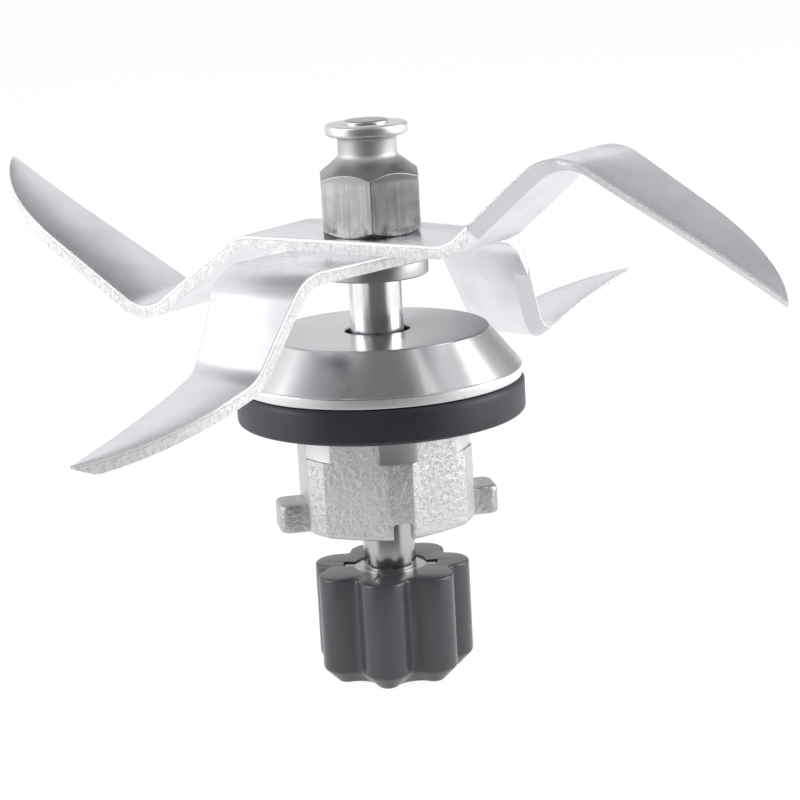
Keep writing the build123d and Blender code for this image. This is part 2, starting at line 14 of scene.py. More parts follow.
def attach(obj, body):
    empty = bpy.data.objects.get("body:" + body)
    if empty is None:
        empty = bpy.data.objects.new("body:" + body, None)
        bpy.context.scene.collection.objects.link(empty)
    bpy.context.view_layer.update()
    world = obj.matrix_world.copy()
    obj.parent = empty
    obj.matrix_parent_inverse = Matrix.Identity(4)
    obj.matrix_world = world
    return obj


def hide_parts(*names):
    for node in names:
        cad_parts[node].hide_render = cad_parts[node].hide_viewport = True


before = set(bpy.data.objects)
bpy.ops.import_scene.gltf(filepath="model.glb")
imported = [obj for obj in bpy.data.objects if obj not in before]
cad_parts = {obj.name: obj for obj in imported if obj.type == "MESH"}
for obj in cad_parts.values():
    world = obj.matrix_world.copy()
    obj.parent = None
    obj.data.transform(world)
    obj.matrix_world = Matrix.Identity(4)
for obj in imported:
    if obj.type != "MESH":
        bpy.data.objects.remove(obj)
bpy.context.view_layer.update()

# The looks of a blender blade assembly: bent blades and a cap nut on a shaft, which runs in a cast
# housing and is driven through a lobed coupling. Sizes are in millimetres until they reach a mesh.
# In the finishes, noise scales are features per metre and bump depths are metres.

log = logging.getLogger("blade_assembly")
Object = bpy.types.Object
Grid = NDArray[np.float64]
Tone = tuple[float, float, float]
Level = tuple[Grid | float, Grid | float, float]
MM = 0.001

# Levels along the shaft, upwards from the foot of the coupling
SHAFT_FOOT = 2.6
INSERT_TOP = 16.75
COUPLING_TOP = 17.0
HOUSING_FOOT = 24.1
CAST_TOP = 35.9
SPIGOT_FOOT = 41.5
RIM_FOOT = 46.3
CONE_FOOT = 47.8
BORE_TOP = 50.9
FLANGE_TOP = 53.9
COLLAR_FOOT = 62.25
LOWER_BLADE_FOOT = 64.7
UPPER_BLADE_FOOT = 66.7
NUT_FOOT = 68.7
SHAFT_TOP = 85.55

SHAFT_RADIUS = 4.0
SHAFT_FLATS = 6.7
FIT = 0.02


class Body(Enum):
    """The two bodies that dressed pieces ride on."""

    ROTOR = "rotor"
    HOUSING = "housing"


class Cut(Enum):
    """What a tool shape does to a piece."""

    ADD = "UNION"
    REMOVE = "DIFFERENCE"


# Shapes


def length_of(vectors: Grid) -> Grid:
    """The length of each vector, kept as a last axis of one."""
    return np.linalg.norm(vectors, axis=-1, keepdims=True)


def unit(vectors: Grid) -> Grid:
    """Each vector divided by its length, and zero where it has none."""
    return vectors / np.maximum(length_of(vectors), 1e-12)


def spokes(angles: Grid) -> Grid:
    """The direction (cos angle, sin angle) of each angle."""
    return np.stack([np.cos(angles), np.sin(angles)], -1)


def rounded(rails: Grid, radii: Sequence[float], steps: int) -> Grid:
    """Rounds the corners of a closed loop of rails.

    At each corner the two sides are cut back by radius / tan(half the angle between them). The
    arc's points are the centre plus the two spokes, weighted by sin((1 - t) turn) and sin(t turn).

    Args:
        rails: Corners as (rail, column, xyz).
        radii: One radius for each rail, which gives way where a side is short.
        steps: Stretches on each arc.

    Returns:
        Points as (rail * (steps + 1), column, xyz).
    """
    before = np.roll(rails, 1, axis=0) - rails
    after = np.roll(rails, -1, axis=0) - rails
    room = 0.45 * np.minimum(length_of(before), length_of(after))
    u, v = unit(before), unit(after)
    cosine = np.clip((u * v).sum(-1, keepdims=True), -0.9999, 0.9999)
    half_tan = np.sqrt((1 - cosine) / (1 + cosine))
    cut = np.minimum(np.asarray(radii, float).reshape(-1, 1, 1) / half_tan, room)
    centre = rails + unit(u + v) * np.sqrt((cut * half_tan) ** 2 + cut**2)
    first, last = (rails + side * cut - centre for side in (u, v))
    turn = (pi - np.arccos(cosine))[:, None]
    share = np.linspace(0, 1, steps + 1).reshape(1, -1, 1, 1)
    arcs = first[:, None] * np.sin((1 - share) * turn) + last[:, None] * np.sin(share * turn)
    points = centre[:, None] + arcs / np.sin(turn)
    return points.reshape(-1, rails.shape[1], 3)


def spun(points: Grid, turn: Grid | float) -> Grid:
    """Turns points about the shaft: (x cos - y sin, x sin + y cos), any height as it was.

    Args:
        points: Points as (..., xy) or (..., xyz).
        turn: One angle, or a column of them that makes a copy for each.

    Returns:
        The turned points.
    """
    c, s = np.cos(turn), np.sin(turn)
    x = points[..., 0] * c - points[..., 1] * s
    y = points[..., 0] * s + points[..., 1] * c
    rest = np.broadcast_to(points[..., 2:], (*x.shape, points.shape[-1] - 2))
    return np.concatenate([np.stack([x, y], -1), rest], -1)


def around(radius: Grid | float, height: Grid | float, angles: Grid) -> Grid:
    """One rail about the shaft: (radius cos angle, radius sin angle, height) for each angle."""
    full = np.ones_like(angles)
    return np.stack([radius * np.cos(angles), radius * np.sin(angles), height * full], -1)


def ring_rails(
    inner: Grid | float, outer: Grid | float, foot: float, top: float, angles: Grid
) -> Grid:
    """Four rails about the shaft: the inner foot, the outer foot, the outer top, the inner top."""
    corners = ((inner, foot), (outer, foot), (outer, top), (inner, top))
    return np.stack([around(radius, level, angles) for radius, level in corners])


def whole_turn(columns: int) -> Grid:
    """Evenly spaced angles over one turn, the last one left off."""
    return np.linspace(0, 2 * pi, columns, endpoint=False)


def in_order(points: Grid) -> tuple[Grid, NDArray[np.int64]]:
    """Sorts points by their angle about the shaft.

    Args:
        points: Points as (column, xy).

    Returns:
        The sorted angles, and the order that sorts the points.
    """
    angles = np.mod(np.arctan2(points[:, 1], points[:, 0]), 2 * pi)
    order = np.argsort(angles)
    return angles[order], order


def flatted(angles: Grid, fit: float = 0.0) -> Grid:
    """The shaft's radius with its two flats, grown by a fit: min(radius, half flats / |cos|)."""
    half = (SHAFT_FLATS + 2 * fit) / 2
    return np.minimum(SHAFT_RADIUS + fit, half / np.maximum(np.abs(np.cos(angles)), 1e-6))


def flatted_angles(columns: int, fit: float = 0.0) -> Grid:
    """Angles over one turn, with one at each of the four corners of the flats or close to it.

    Args:
        columns: Evenly spaced angles among them.
        fit: How far the round is grown.

    Returns:
        The angles, sorted.
    """
    corner = np.arccos(SHAFT_FLATS / 2 / (SHAFT_RADIUS + fit))
    corners = np.array([corner, pi - corner, pi + corner, 2 * pi - corner])
    return np.unique(np.round(np.concatenate([whole_turn(columns), corners]), 9))


def add_object(name: str, data: bpy.types.ID) -> Object:
    """Puts a new object into the scene.

    Args:
        name: The object's name.
        data: Its mesh, light or camera.

    Returns:
        The object.
    """
    made = bpy.data.objects.new(name, data)
    bpy.context.scene.collection.objects.link(made)
    return made


def make_mesh(
    name: str,
    rows: Grid,
    labels: Sequence[int] = (0,),
    closed: bool = True,
    sharp: float = 30.0,
    across: Sequence[float] = (0.0,),
) -> Object:
    """Puts a grid into a mesh whose rows close on each other.

    Args:
        name: The object's name.
        rows: Points as (row, column, xyz), in millimetres.
        labels: Material indices, each spread over an equal number of rows.
        closed: Whether the last column joins the first.
        sharp: Edges that turn by more than these degrees stay crisp.
        across: Shares that a material can read, each spread over an equal number of rows.

    Returns:
        The object, merged, with its faces outward.
    """
    count, columns = rows.shape[:2]
    row = np.arange(count)[:, None]
    column = np.arange(columns if closed else columns - 1)[None, :]
    next_row, next_column = (row + 1) % count, (column + 1) % columns
    corners = [row * columns + column, row * columns + next_column]
    corners += [next_row * columns + next_column, next_row * columns + column]
    faces = np.stack([np.broadcast_to(c, (count, column.size)) for c in corners], -1)
    mesh = bpy.data.meshes.new(name)
    mesh.from_pydata((rows.reshape(-1, 3) * MM).tolist(), [], faces.reshape(-1, 4).tolist())
    spread = np.repeat(np.asarray(labels, np.int32), count // len(labels))
    mesh.polygons.foreach_set("material_index", np.repeat(spread, column.size))
    shares = np.repeat(np.asarray(across, np.float32), count // len(across) * columns)
    mesh.attributes.new("across", "FLOAT", "POINT").data.foreach_set("value", shares)
    piece = add_object(name, mesh)
    settle(piece, sharp)
    return piece


def turned(
    name: str,
    levels: Sequence[Level],
    angles: Grid,
    steps: int,
    labels: Sequence[int] = (0,),
    sharp: float = 30.0,
) -> Object:
    """A piece whose corners are rails about the shaft.

    Args:
        name: The object's name.
        levels: Radius, height and corner radius of each rail.
        angles: The angles of the columns.
        steps: Stretches on each corner's arc.
        labels: Material indices, one for each rail or one for all.
        sharp: Edges that turn by more than these degrees stay crisp.

    Returns:
        The object.
    """
    rails = np.stack([around(radius, height, angles) for radius, height, _ in levels])
    rows = rounded(rails, [edge for _, _, edge in levels], steps)
    return make_mesh(name, rows, labels, sharp=sharp)


def settle(piece: Object, sharp: float) -> None:
    """Merges doubles, drops loose edges, closes slivers, turns faces outward, marks crisp edges.

    Args:
        piece: The object whose mesh is settled.
        sharp: Edges that turn by more than these degrees stay crisp.
    """
    shape = bmesh.new()
    shape.from_mesh(piece.data)
    bmesh.ops.remove_doubles(shape, verts=shape.verts, dist=1e-6)
    bmesh.ops.dissolve_degenerate(shape, edges=shape.edges, dist=1e-7)
    bmesh.ops.delete(shape, geom=[edge for edge in shape.edges if edge.is_wire], context="EDGES")
    bmesh.ops.holes_fill(shape, edges=[edge for edge in shape.edges if edge.is_boundary], sides=6)
    bmesh.ops.recalc_face_normals(shape, faces=shape.faces)
    if shape.calc_volume(signed=True) < 0:
        bmesh.ops.reverse_faces(shape, faces=shape.faces)
    shape.to_mesh(piece.data)
    shape.free()
    piece.data.shade_smooth()
    piece.data.set_sharp_from_angle(angle=radians(sharp))


def carve(piece: Object, tool: Object, cut: Cut, sharp: float) -> None:
    """Adds a tool shape to a piece or takes it away, and deletes the tool.

    Args:
        piece: The object that is changed.
        tool: A closed shape, whose faces keep their material indices.
        cut: Whether the tool is added or removed.
        sharp: Edges that turn by more than these degrees stay crisp.
    """
    for material in piece.data.materials:
        tool.data.materials.append(material)
    step = piece.modifiers.new("carve", "BOOLEAN")
    step.operation = cut.value
    step.solver = "MANIFOLD"
    step.object = tool
    view = bpy.context.evaluated_depsgraph_get()
    result = bpy.data.meshes.new_from_object(piece.evaluated_get(view))
    piece.modifiers.clear()
    old, piece.data = piece.data, result
    bpy.data.meshes.remove(old)
    bpy.data.objects.remove(tool)
    settle(piece, sharp)


# Materials


class Wire:
    """One output of a node. Arithmetic on it adds Math nodes."""

    def __init__(self, recipe: "Recipe", socket: bpy.types.NodeSocket) -> None:
        """Keeps the recipe that the output belongs to."""
        self.recipe = recipe
        self.socket = socket

    def math(self, operation: str, *values: Any) -> "Wire":
        """A Math node of the given operation on these values."""
        return self.recipe.node("ShaderNodeMath", {"operation": operation}, dict(enumerate(values)))

    def __add__(self, other: Any) -> "Wire":
        """This plus the other."""
        return self.math("ADD", self, other)

    def __sub__(self, other: Any) -> "Wire":
        """This less the other."""
        return self.math("SUBTRACT", self, other)

    def __rsub__(self, other: Any) -> "Wire":
        """The other less this."""
        return self.math("SUBTRACT", other, self)

    def __mul__(self, other: Any) -> "Wire":
        """This times the other."""
        return self.math("MULTIPLY", self, other)

    def __truediv__(self, other: Any) -> "Wire":
        """This divided by the other."""
        return self.math("DIVIDE", self, other)

    __radd__, __rmul__ = __add__, __mul__

    def step(self, low: float, high: float) -> "Wire":
        """Rises smoothly from 0 at low to 1 at high."""
        settings = {"interpolation_type": "SMOOTHSTEP"}
        return self.recipe.node("ShaderNodeMapRange", settings, {0: self, 1: low, 2: high})


class Recipe:
    """A node tree that is written as expressions."""

    def __init__(self, tree: bpy.types.NodeTree, coordinates: str) -> None:
        """Keeps the tree and reads the named coordinates in it.

        Args:
            tree: The node tree of a material or of the surround.
            coordinates: The output of the coordinate node that places are read from.
        """
        self.tree = tree
        self.place = self.node("ShaderNodeTexCoord", output=coordinates)
        parts = self.node("ShaderNodeSeparateXYZ", inputs={0: self.place}).socket.node
        self.x, self.y, self.z = (Wire(self, output) for output in parts.outputs)

    def node(
        self,
        kind: str,
        settings: Mapping[str, Any] | None = None,
        inputs: Mapping[int | str, Any] | None = None,
        output: int | str = 0,
    ) -> Wire:
        """Adds any node.

        Args:
            kind: The node's type.
            settings: Its settings, set first.
            inputs: Values or wires by socket name or number.
            output: The output that is returned.

        Returns:
            The chosen output.
        """
        made = self.tree.nodes.new(kind)
        for key, value in (settings or {}).items():
            setattr(made, key, value)
        for key, value in (inputs or {}).items():
            self.join(made.inputs[key], value)
        return Wire(self, made.outputs[output])

    def join(self, socket: bpy.types.NodeSocket, value: Any) -> None:
        """Links a wire to a socket, or sets the socket's own value.

        Args:
            socket: The socket that is fed.
            value: A wire, a number, a vector or a tone.
        """
        if isinstance(value, Wire):
            self.tree.links.new(value.socket, socket)
        elif isinstance(value, tuple) and len(socket.default_value) == 4:
            socket.default_value = (*value, 1.0)
        else:
            socket.default_value = value

    def noise(
        self, scale: float, detail: float = 2.0, rough: float = 0.5, at: Wire | None = None
    ) -> Wire:
        """Soft noise about 0.5, read at a place, or at the object's own where none is given."""
        inputs = {"Vector": at or self.place, "Scale": scale, "Detail": detail, "Roughness": rough}
        return self.node("ShaderNodeTexNoise", None, inputs)

    def line_noise(self, at: Wire, scale: float, detail: float = 2.0) -> Wire:
        """Noise that changes along one number only, as tool marks do."""
        inputs = {"W": at, "Scale": scale, "Detail": detail, "Roughness": 0.6}
        return self.node("ShaderNodeTexNoise", {"noise_dimensions": "1D"}, inputs)

    def stretched(self, *scales: float) -> Wire:
        """The object's place with each axis scaled."""
        inputs = {0: self.place, 1: scales}
        return self.node("ShaderNodeVectorMath", {"operation": "MULTIPLY"}, inputs)

    def radius(self) -> Wire:
        """How far a point lies from the shaft's axis."""
        square = self.x * self.x + self.y * self.y
        return square.math("SQRT", square)

    def above(self, level: float, fade: float) -> Wire:
        """0 below a level, rising to 1 over a fade above it, both in millimetres."""
        return self.z.step(level * MM, (level + fade) * MM)

    def blend(self, first: Tone | Wire, second: Tone | Wire, share: Wire | float) -> Wire:
        """A colour between two, by a Mix node."""
        inputs = {0: share, 6: first, 7: second}
        return self.node("ShaderNodeMix", {"data_type": "RGBA"}, inputs, output=2)

    def bump(self, height: Wire, depth: float, strength: float, under: Wire | None = None) -> Wire:
        """A normal from a height.

        Args:
            height: The height, about 0 to 1.
            depth: What a height of 1 measures, in metres.
            strength: How much of it shows.
            under: A normal that it is laid on.

        Returns:
            The bumped normal.
        """
        inputs = {"Height": height, "Distance": depth, "Strength": strength}
        if under is not None:
            inputs["Normal"] = under
        return self.node("ShaderNodeBump", None, inputs)


class Surface(Recipe):
    """A material on the object's own coordinates, with its Principled shader."""

    def __init__(self, name: str) -> None:
        """Starts a material of that name."""
        self.material = bpy.data.materials.new(name)
        self.material.use_nodes = True
        super().__init__(self.material.node_tree, "Object")
        self.shader = self.tree.nodes["Principled BSDF"]

    def finish(self, **sockets: Any) -> bpy.types.Material:
        """Sets the shader's sockets.

        Args:
            **sockets: Values or wires by socket name, in small letters with underscores.

        Returns:
            The material.
        """
        for name, value in sockets.items():
            self.join(self.shader.inputs[name.replace("_", " ").title()], value)
        return self.material

    def metal(
        self, tone: Wire, rough: Wire, normal: Wire, metallic: float = 1.0, **more: Any
    ) -> bpy.types.Material:
        """Finishes a metal with these sockets."""
        sockets = {"base_color": tone, "roughness": rough, "normal": normal, **more}
        return self.finish(metallic=metallic, **sockets)

    def glow(self, strength: float, share: Wire | float) -> bpy.types.Material:
        """Mixes an even white light of its own over the shader.

        Args:
            strength: The light's strength, where 1 is white.
            share: How much of it shows.

        Returns:
            The material.
        """
        inputs = {"Color": (1.0, 1.0, 1.0), "Strength": strength}
        light = self.node("ShaderNodeEmission", None, inputs)
        base = Wire(self, self.shader.outputs[0])
        mixed = self.node("ShaderNodeMixShader", None, {0: share, 1: base, 2: light})
        self.join(self.tree.nodes["Material Output"].inputs["Surface"], mixed)
        return self.material


@dataclass(frozen=True)
class SheetSteel:
    """Satin cold-rolled sheet with faint, soft mottling."""

    tone: Tone = (0.83, 0.825, 0.865)
    dull: Tone = (0.73, 0.725, 0.76)
    rough: float = 0.22

    def material(self) -> bpy.types.Material:
        """Mottling of two sizes in the tone, one of them in the gloss and the flatness too.

        Returns:
            The material.
        """
        r = Surface("cold_rolled_sheet")
        cloud = r.noise(110.0, 3.0, 0.6)
        scuff = r.noise(190.0).step(0.42, 0.72)
        tone = r.blend(self.tone, self.dull, 0.5 * cloud + 0.6 * scuff)
        return r.metal(tone, self.rough + 0.10 * cloud, r.bump(cloud, 3e-5, 0.3))


@dataclass(frozen=True)
class CutSteel:
    """The blanked edge of the sheet: sheared smooth near the top face and torn below that."""

    tone: Tone = (0.97, 0.97, 0.97)
    torn: Tone = (0.68, 0.68, 0.70)
    pit: Tone = (0.42, 0.42, 0.44)
    shear_line: float = 0.80
    wander: float = 0.10

    def material(self) -> bpy.types.Material:
        """The line between the two zones wanders about its share of the thickness.

        Returns:
            The material.
        """
        r = Surface("cut_edge")
        across = r.node("ShaderNodeAttribute", {"attribute_name": "across"}, output="Fac")
        away = across - self.shear_line + self.wander * (r.noise(420.0, 3.0, 0.6) - 0.5)
        beads = r.noise(1700.0, 2.0, 0.6).step(0.42, 0.58)
        line = (1.0 - away.math("ABSOLUTE", away).step(0.01, 0.10)) * (0.35 + 0.65 * beads)
        rough_zone = 1.0 - away.step(0.0, 0.04)
        tear = r.noise(1.0, 4.0, 0.75, r.stretched(2200.0, 2200.0, 1300.0))
        crumb = r.noise(4200.0, 2.0, 0.6)
        tone = r.blend(self.tone, self.torn, rough_zone * tear.step(0.35, 0.70))
        tone = r.blend(tone, self.pit, rough_zone * 0.6 * crumb.step(0.60, 0.74))
        tone = r.blend(tone, self.pit, 0.55 * line + 0.5 * across.step(0.95, 1.0))
        normal = r.bump(rough_zone * (tear + 0.5 * crumb) - 0.5 * line, 6e-5, 0.8)
        rough = 0.26 + rough_zone * (0.16 + 0.2 * tear)
        return r.metal(tone, rough, normal, metallic=0.2)


@dataclass(frozen=True)
class GroundSteel:
    """The ground bevel behind a cutting edge."""

    tone: Tone = (0.58, 0.58, 0.61)
    bright: Tone = (0.68, 0.68, 0.71)

    def material(self) -> bpy.types.Material:
        """Fine grinding lines that run across the edge.

        Returns:
            The material.
        """
        r = Surface("ground_bevel")
        lines = r.noise(1.0, 3.0, 0.65, r.stretched(2600.0, 700.0, 700.0))
        tone = r.blend(self.tone, self.bright, lines)
        return r.metal(tone, 0.24 + 0.12 * lines, r.bump(lines, 2e-5, 0.6))


@dataclass(frozen=True)
class TurnedSteel:
    """Bright bar steel with rings where it was turned."""

    name: str
    rough: float
    tone: Tone = (0.60, 0.585, 0.59)
    # Darker tone for streaks; on the nut it also paints shade on the cone.
    streak_and_shade: Tone = (0.35, 0.335, 0.33)

    def material(self) -> bpy.types.Material:
        """Rings follow radius plus height, over a cloudy tone.

        Returns:
            The material.
        """
        r = Surface(self.name)
        ring = r.line_noise(r.radius() + 0.8 * r.z, 5200.0, 3.0)
        tone = r.blend(self.tone, self.streak_and_shade, 0.6 * r.noise(300.0, 3.0, 0.6))
        return r.metal(tone, self.rough + 0.1 * ring, r.bump(ring, 1.2e-5, 0.5))


@dataclass(frozen=True)
class NutSteel(TurnedSteel):
    """The same steel, left as drawn on the flats, with streaks and stains."""

    stain: Tone = (0.10, 0.09, 0.08)
    rim_tone: Tone = (0.74, 0.73, 0.735)
    flats_top: float = NUT_FOOT + 8.2
    stained: float = 3.6
    neck_from: float = NUT_FOOT + 10.4
    rim_from: float = SHAFT_TOP - 2.3

    def material(self) -> bpy.types.Material:
        """Streaks lie below the top of the flats, stains near the foot; the rim is brightest.

        Returns:
            The material.
        """
        r = Surface(self.name)
        ring = r.line_noise(r.radius() + 0.8 * r.z, 5200.0, 3.0)
        cloud = r.noise(300.0, 3.0, 0.6)
        line = r.noise(1.0, 4.0, 0.7, r.stretched(2100.0, 2100.0, 80.0))
        stain = r.noise(500.0, 4.0, 0.65).step(0.44, 0.66)
        below = 1.0 - r.above(self.flats_top - 0.4, 0.8)
        low = 1.0 - r.above(NUT_FOOT, self.stained)
        neck = r.above(self.neck_from, 1.0)
        rim = r.above(self.rim_from, 0.3)
        drawn = below * 0.8 * line.step(0.38, 0.75)
        tone = r.blend(self.tone, self.streak_and_shade, drawn + 0.25 * cloud)
        tone = r.blend(tone, self.stain, 0.85 * (stain * below * (0.08 + 0.92 * low)))
        # Painted shade: the cone between the flats and the neck is darkened.
        tone = r.blend(tone, self.streak_and_shade, 0.7 * ((1.0 - below) * (1.0 - neck)))
        tone = r.blend(tone, self.rim_tone, rim)
        marks = below * (0.10 * line + 0.12 * stain)
        rough = self.rough + 0.10 * ring + marks + 0.22 * neck - 0.17 * rim
        normal = r.bump(below * line + (1.0 - below) * ring, 1e-5, 0.6)
        return r.metal(tone, rough, normal, anisotropic=0.3)


@dataclass(frozen=True)
class PolishedShaft:
    """The ground shaft, nearly a mirror, duller below the housing and at its peened end."""

    tone: Tone = (0.84, 0.83, 0.84)
    filmed: Tone = (0.72, 0.71, 0.72)
    dull: Tone = (0.40, 0.395, 0.40)

    def material(self) -> bpy.types.Material:
        """Rings follow the height on the bar, and half the radius on its end.

        Returns:
            The material.
        """
        r = Surface("ground_shaft")
        ring = r.line_noise(r.z + 0.5 * r.radius(), 7000.0, 3.0)
        film = r.noise(240.0, 3.0, 0.6)
        peened = r.above(SHAFT_TOP - 0.3, 0.25)
        # Darker below the housing's foot and at the peened end.
        darkened = 0.8 * (1.0 - r.above(HOUSING_FOOT, 4.0)) + 0.9 * peened
        tone = r.blend(r.blend(self.tone, self.filmed, 0.7 * film), self.dull, darkened)
        rough = 0.17 + 0.05 * ring + 0.06 * film + 0.15 * peened
        return r.metal(tone, rough, r.bump(ring, 1.5e-6, 0.5), anisotropic=0.3)


@dataclass(frozen=True)
class CastMetal:
    """The casting's matte skin, finely wrinkled, with painted glints and painted lug shade."""

    tone: Tone = (0.66, 0.65, 0.665)
    clouded: Tone = (0.57, 0.565, 0.58)
    pit: Tone = (0.38, 0.38, 0.39)
    painted_glint: Tone = (0.95, 0.95, 0.95)
    # Radius where the lugs' painted shade and lower roughness begin.
    lug_shade_and_gloss_from: float = 13.8

    def material(self) -> bpy.types.Material:
        """Wrinkles of two sizes, pits, and a scatter of glossier grains with painted glints.

        Returns:
            The material.
        """
        r = Surface("cast_skin")
        wrinkle = r.noise(1150.0, 4.0, 0.64)
        fine = r.noise(3600.0, 3.0, 0.6)
        grain = r.noise(4200.0, 1.0).step(0.62, 0.72)
        pit = r.noise(2300.0, 3.0, 0.6).step(0.56, 0.72)
        lug = r.radius().step(self.lug_shade_and_gloss_from * MM, (self.lug_shade_and_gloss_from + 0.5) * MM)
        tone = r.blend(self.tone, self.clouded, r.noise(150.0))
        # Pits are darkened; painted glints give the grains a near-white tone.
        tone = r.blend(r.blend(tone, self.pit, 0.6 * pit), self.painted_glint, 0.6 * grain)
        # Painted shade: the lugs beyond the body are darkened with the pit tone.
        tone = r.blend(tone, self.pit, 0.5 * lug)
        normal = r.bump(fine, 5e-5, 0.8, r.bump(wrinkle - 0.4 * pit, 3e-4, 0.9))
        rough = 0.42 - 0.16 * grain + 0.1 * fine - 0.10 * lug
        return r.metal(tone, rough, normal, metallic=0.9)


@dataclass(frozen=True)
class TurnedCasting:
    """The machined faces of the casting: tool rings, soft bands and a few pores."""

    name: str
    tone: Tone
    rough: float
    spread: float = 0.5
    # Tones of the painted reflection on the flange's top and of its painted shade.
    painted_top_reflection: Tone = (0.62, 0.615, 0.63)
    shaded: Tone = (0.36, 0.355, 0.37)
    pore: Tone = (0.30, 0.30, 0.30)
    shaded_side: float = -15.0

    def material(self) -> bpy.types.Material:
        """Rings follow radius less height; a broad wedge of painted shade lies on the flange's top.

        Returns:
            The material.
        """
        r = Surface(self.name)
        radius = r.radius()
        path = radius - 0.9 * r.z
        ring = r.line_noise(path, 3400.0)
        band = r.line_noise(path, 900.0)
        cloud = r.noise(130.0, 3.0, 0.6)
        side = radians(self.shaded_side)
        towards = (r.x * cos(side) + r.y * sin(side)) / (radius + 0.1 * MM)
        top = r.above(FLANGE_TOP - 0.3, 0.2)
        tone = r.blend(self.tone, tuple(0.86 * c for c in self.tone), 0.5 * cloud + 0.4 * band)
        # Painted reflection on the flange's top, darkening to painted shade over a broad wedge.
        tone = r.blend(tone, r.blend(self.painted_top_reflection, self.shaded, towards.step(-0.1, 0.75)), top)
        tone = r.blend(tone, self.pore, r.noise(1500.0).step(0.74, 0.78))
        rough = self.rough + 0.06 * ring + 0.06 * cloud
        return r.metal(tone, rough, r.bump(ring, 1.5e-6, 0.5), anisotropic=self.spread)


@dataclass(frozen=True)
class Rubber:
    """Smooth moulded rubber with a faint bloom and dust."""

    name: str
    tone: Tone
    bloom: Tone
    rough: float
    dust: Tone = (0.10, 0.10, 0.11)

    def material(self) -> bpy.types.Material:
        """A cloudy bloom over a fine grain.

        Returns:
            The material.
        """
        r = Surface(self.name)
        cloud = r.noise(260.0, 4.0, 0.65)
        dust = r.noise(1700.0).step(0.70, 0.76)
        tone = r.blend(r.blend(self.tone, self.bloom, cloud), self.dust, 0.3 * dust)
        normal = r.bump(r.noise(3200.0), 1.8e-5, 0.5)
        return r.finish(base_color=tone, roughness=self.rough + 0.14 * cloud, normal=normal)


@dataclass(frozen=True)
class Moulding:
    """Dark glass-filled plastic, smooth, with flow marks and scuffs."""

    tone: Tone = (0.056, 0.057, 0.066)
    rubbed: Tone = (0.14, 0.14, 0.15)

    def material(self) -> bpy.types.Material:
        """Flow marks along the height, fine grain and a few scuffs.

        Returns:
            The material.
        """
        r = Surface("dark_moulding")
        flow = r.noise(1.0, 3.0, 0.6, r.stretched(260.0, 260.0, 70.0))
        grain = r.noise(2400.0, 3.0, 0.6)
        scuff = r.noise(600.0, 4.0, 0.7).step(0.60, 0.74)
        tone = r.blend(self.tone, self.rubbed, 0.35 * flow + 0.12 * scuff)
        normal = r.bump(grain, 5e-6, 0.5, r.bump(flow, 4e-5, 0.3))
        rough = 0.22 + 0.04 * grain + 0.03 * scuff
        return r.finish(base_color=tone, roughness=rough, normal=normal)


@dataclass(frozen=True)
class InnerMetal:
    """The metal of a piece inside the housing: an even tone with rings and a light film."""

    name: str
    tone: Tone
    rough: float
    ringed: float = 0.5

    def material(self) -> bpy.types.Material:
        """Rings follow radius plus height, under a cloudy film.

        Returns:
            The material.
        """
        r = Surface(self.name)
        ring = r.line_noise(r.radius() + r.z, 6000.0)
        film = r.noise(420.0, 4.0, 0.6)
        tone = r.blend(self.tone, tuple(0.72 * c for c in self.tone), film)
        return r.metal(tone, self.rough + 0.12 * film, r.bump(ring, 1e-5, self.ringed))


class Finishes:
    """Every finish, made once."""

    def __init__(self) -> None:
        """Makes the materials by name."""
        makers: dict[str, Any] = {
            "sheet": SheetSteel(),
            "cut": CutSteel(),
            "ground": GroundSteel(),
            "nut": NutSteel("turned_steel", 0.26),
            "collar": TurnedSteel("collar_steel", 0.32),
            "insert": TurnedSteel("insert_steel", 0.28),
            "shaft": PolishedShaft(),
            "cast": CastMetal(),
            "polished": TurnedCasting("polished_casting", (0.76, 0.755, 0.765), 0.16),
            "honed": TurnedCasting("honed_casting", (0.74, 0.73, 0.74), 0.34),
            "rim": TurnedCasting("rim_casting", (0.95, 0.94, 0.95), 0.48),
            "rubber": Rubber("sealing_rubber", (0.015, 0.016, 0.024), (0.032, 0.034, 0.048), 0.38),
            "lip": Rubber("seal_rubber", (0.022, 0.022, 0.024), (0.04, 0.04, 0.042), 0.5),
            "moulding": Moulding(),
            "pressed": InnerMetal("pressed_steel", (0.52, 0.52, 0.53), 0.34, 0.2),
            "spring": InnerMetal("spring_steel", (0.24, 0.23, 0.22), 0.36, 0.2),
            "bearing": InnerMetal("bearing_steel", (0.62, 0.62, 0.64), 0.16),
            "ball": InnerMetal("ball_steel", (0.74, 0.74, 0.76), 0.05, 0.0),
            "brass": InnerMetal("cage_brass", (0.60, 0.43, 0.18), 0.28),
        }
        self.made = {name: maker.material() for name, maker in makers.items()}

    def put(self, piece: Object, *names: str) -> None:
        """Fills a piece's material slots in order and keeps its faces' numbers.

        Args:
            piece: The object, whose slots may hold other materials.
            *names: The finishes.
        """
        slots = piece.data.materials
        for place, name in enumerate(names):
            if place < len(slots):
                slots[place] = self.made[name]
            else:
                slots.append(self.made[name])


# Sub-assemblies


class Part:
    """A sub-assembly of one mesh, which stands for one CAD node."""

    node: str
    slot: str
    finish: tuple[str, ...]
    body: Body = Body.ROTOR
    sharp: float = 30.0

    def mesh(self) -> Object:
        """The piece before anything is joined to it or cut from it."""
        raise NotImplementedError

    def tools(self) -> Iterator[tuple[Object, Cut]]:
        """The shapes that are joined to the piece or cut from it, in order."""
        yield from ()

    def dress(self, finishes: Finishes) -> None:
        """Builds and finishes the piece, and lets it ride on its body and stand for its node.

        Args:
            finishes: The finishes to choose from.
        """
        piece = self.mesh()
        finishes.put(piece, *self.finish)
        for tool, cut in self.tools():
            carve(piece, tool, cut, self.sharp)
        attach(piece, self.body.value)
        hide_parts(self.node)
        log.info("%s: %d faces", piece.name, len(piece.data.polygons))


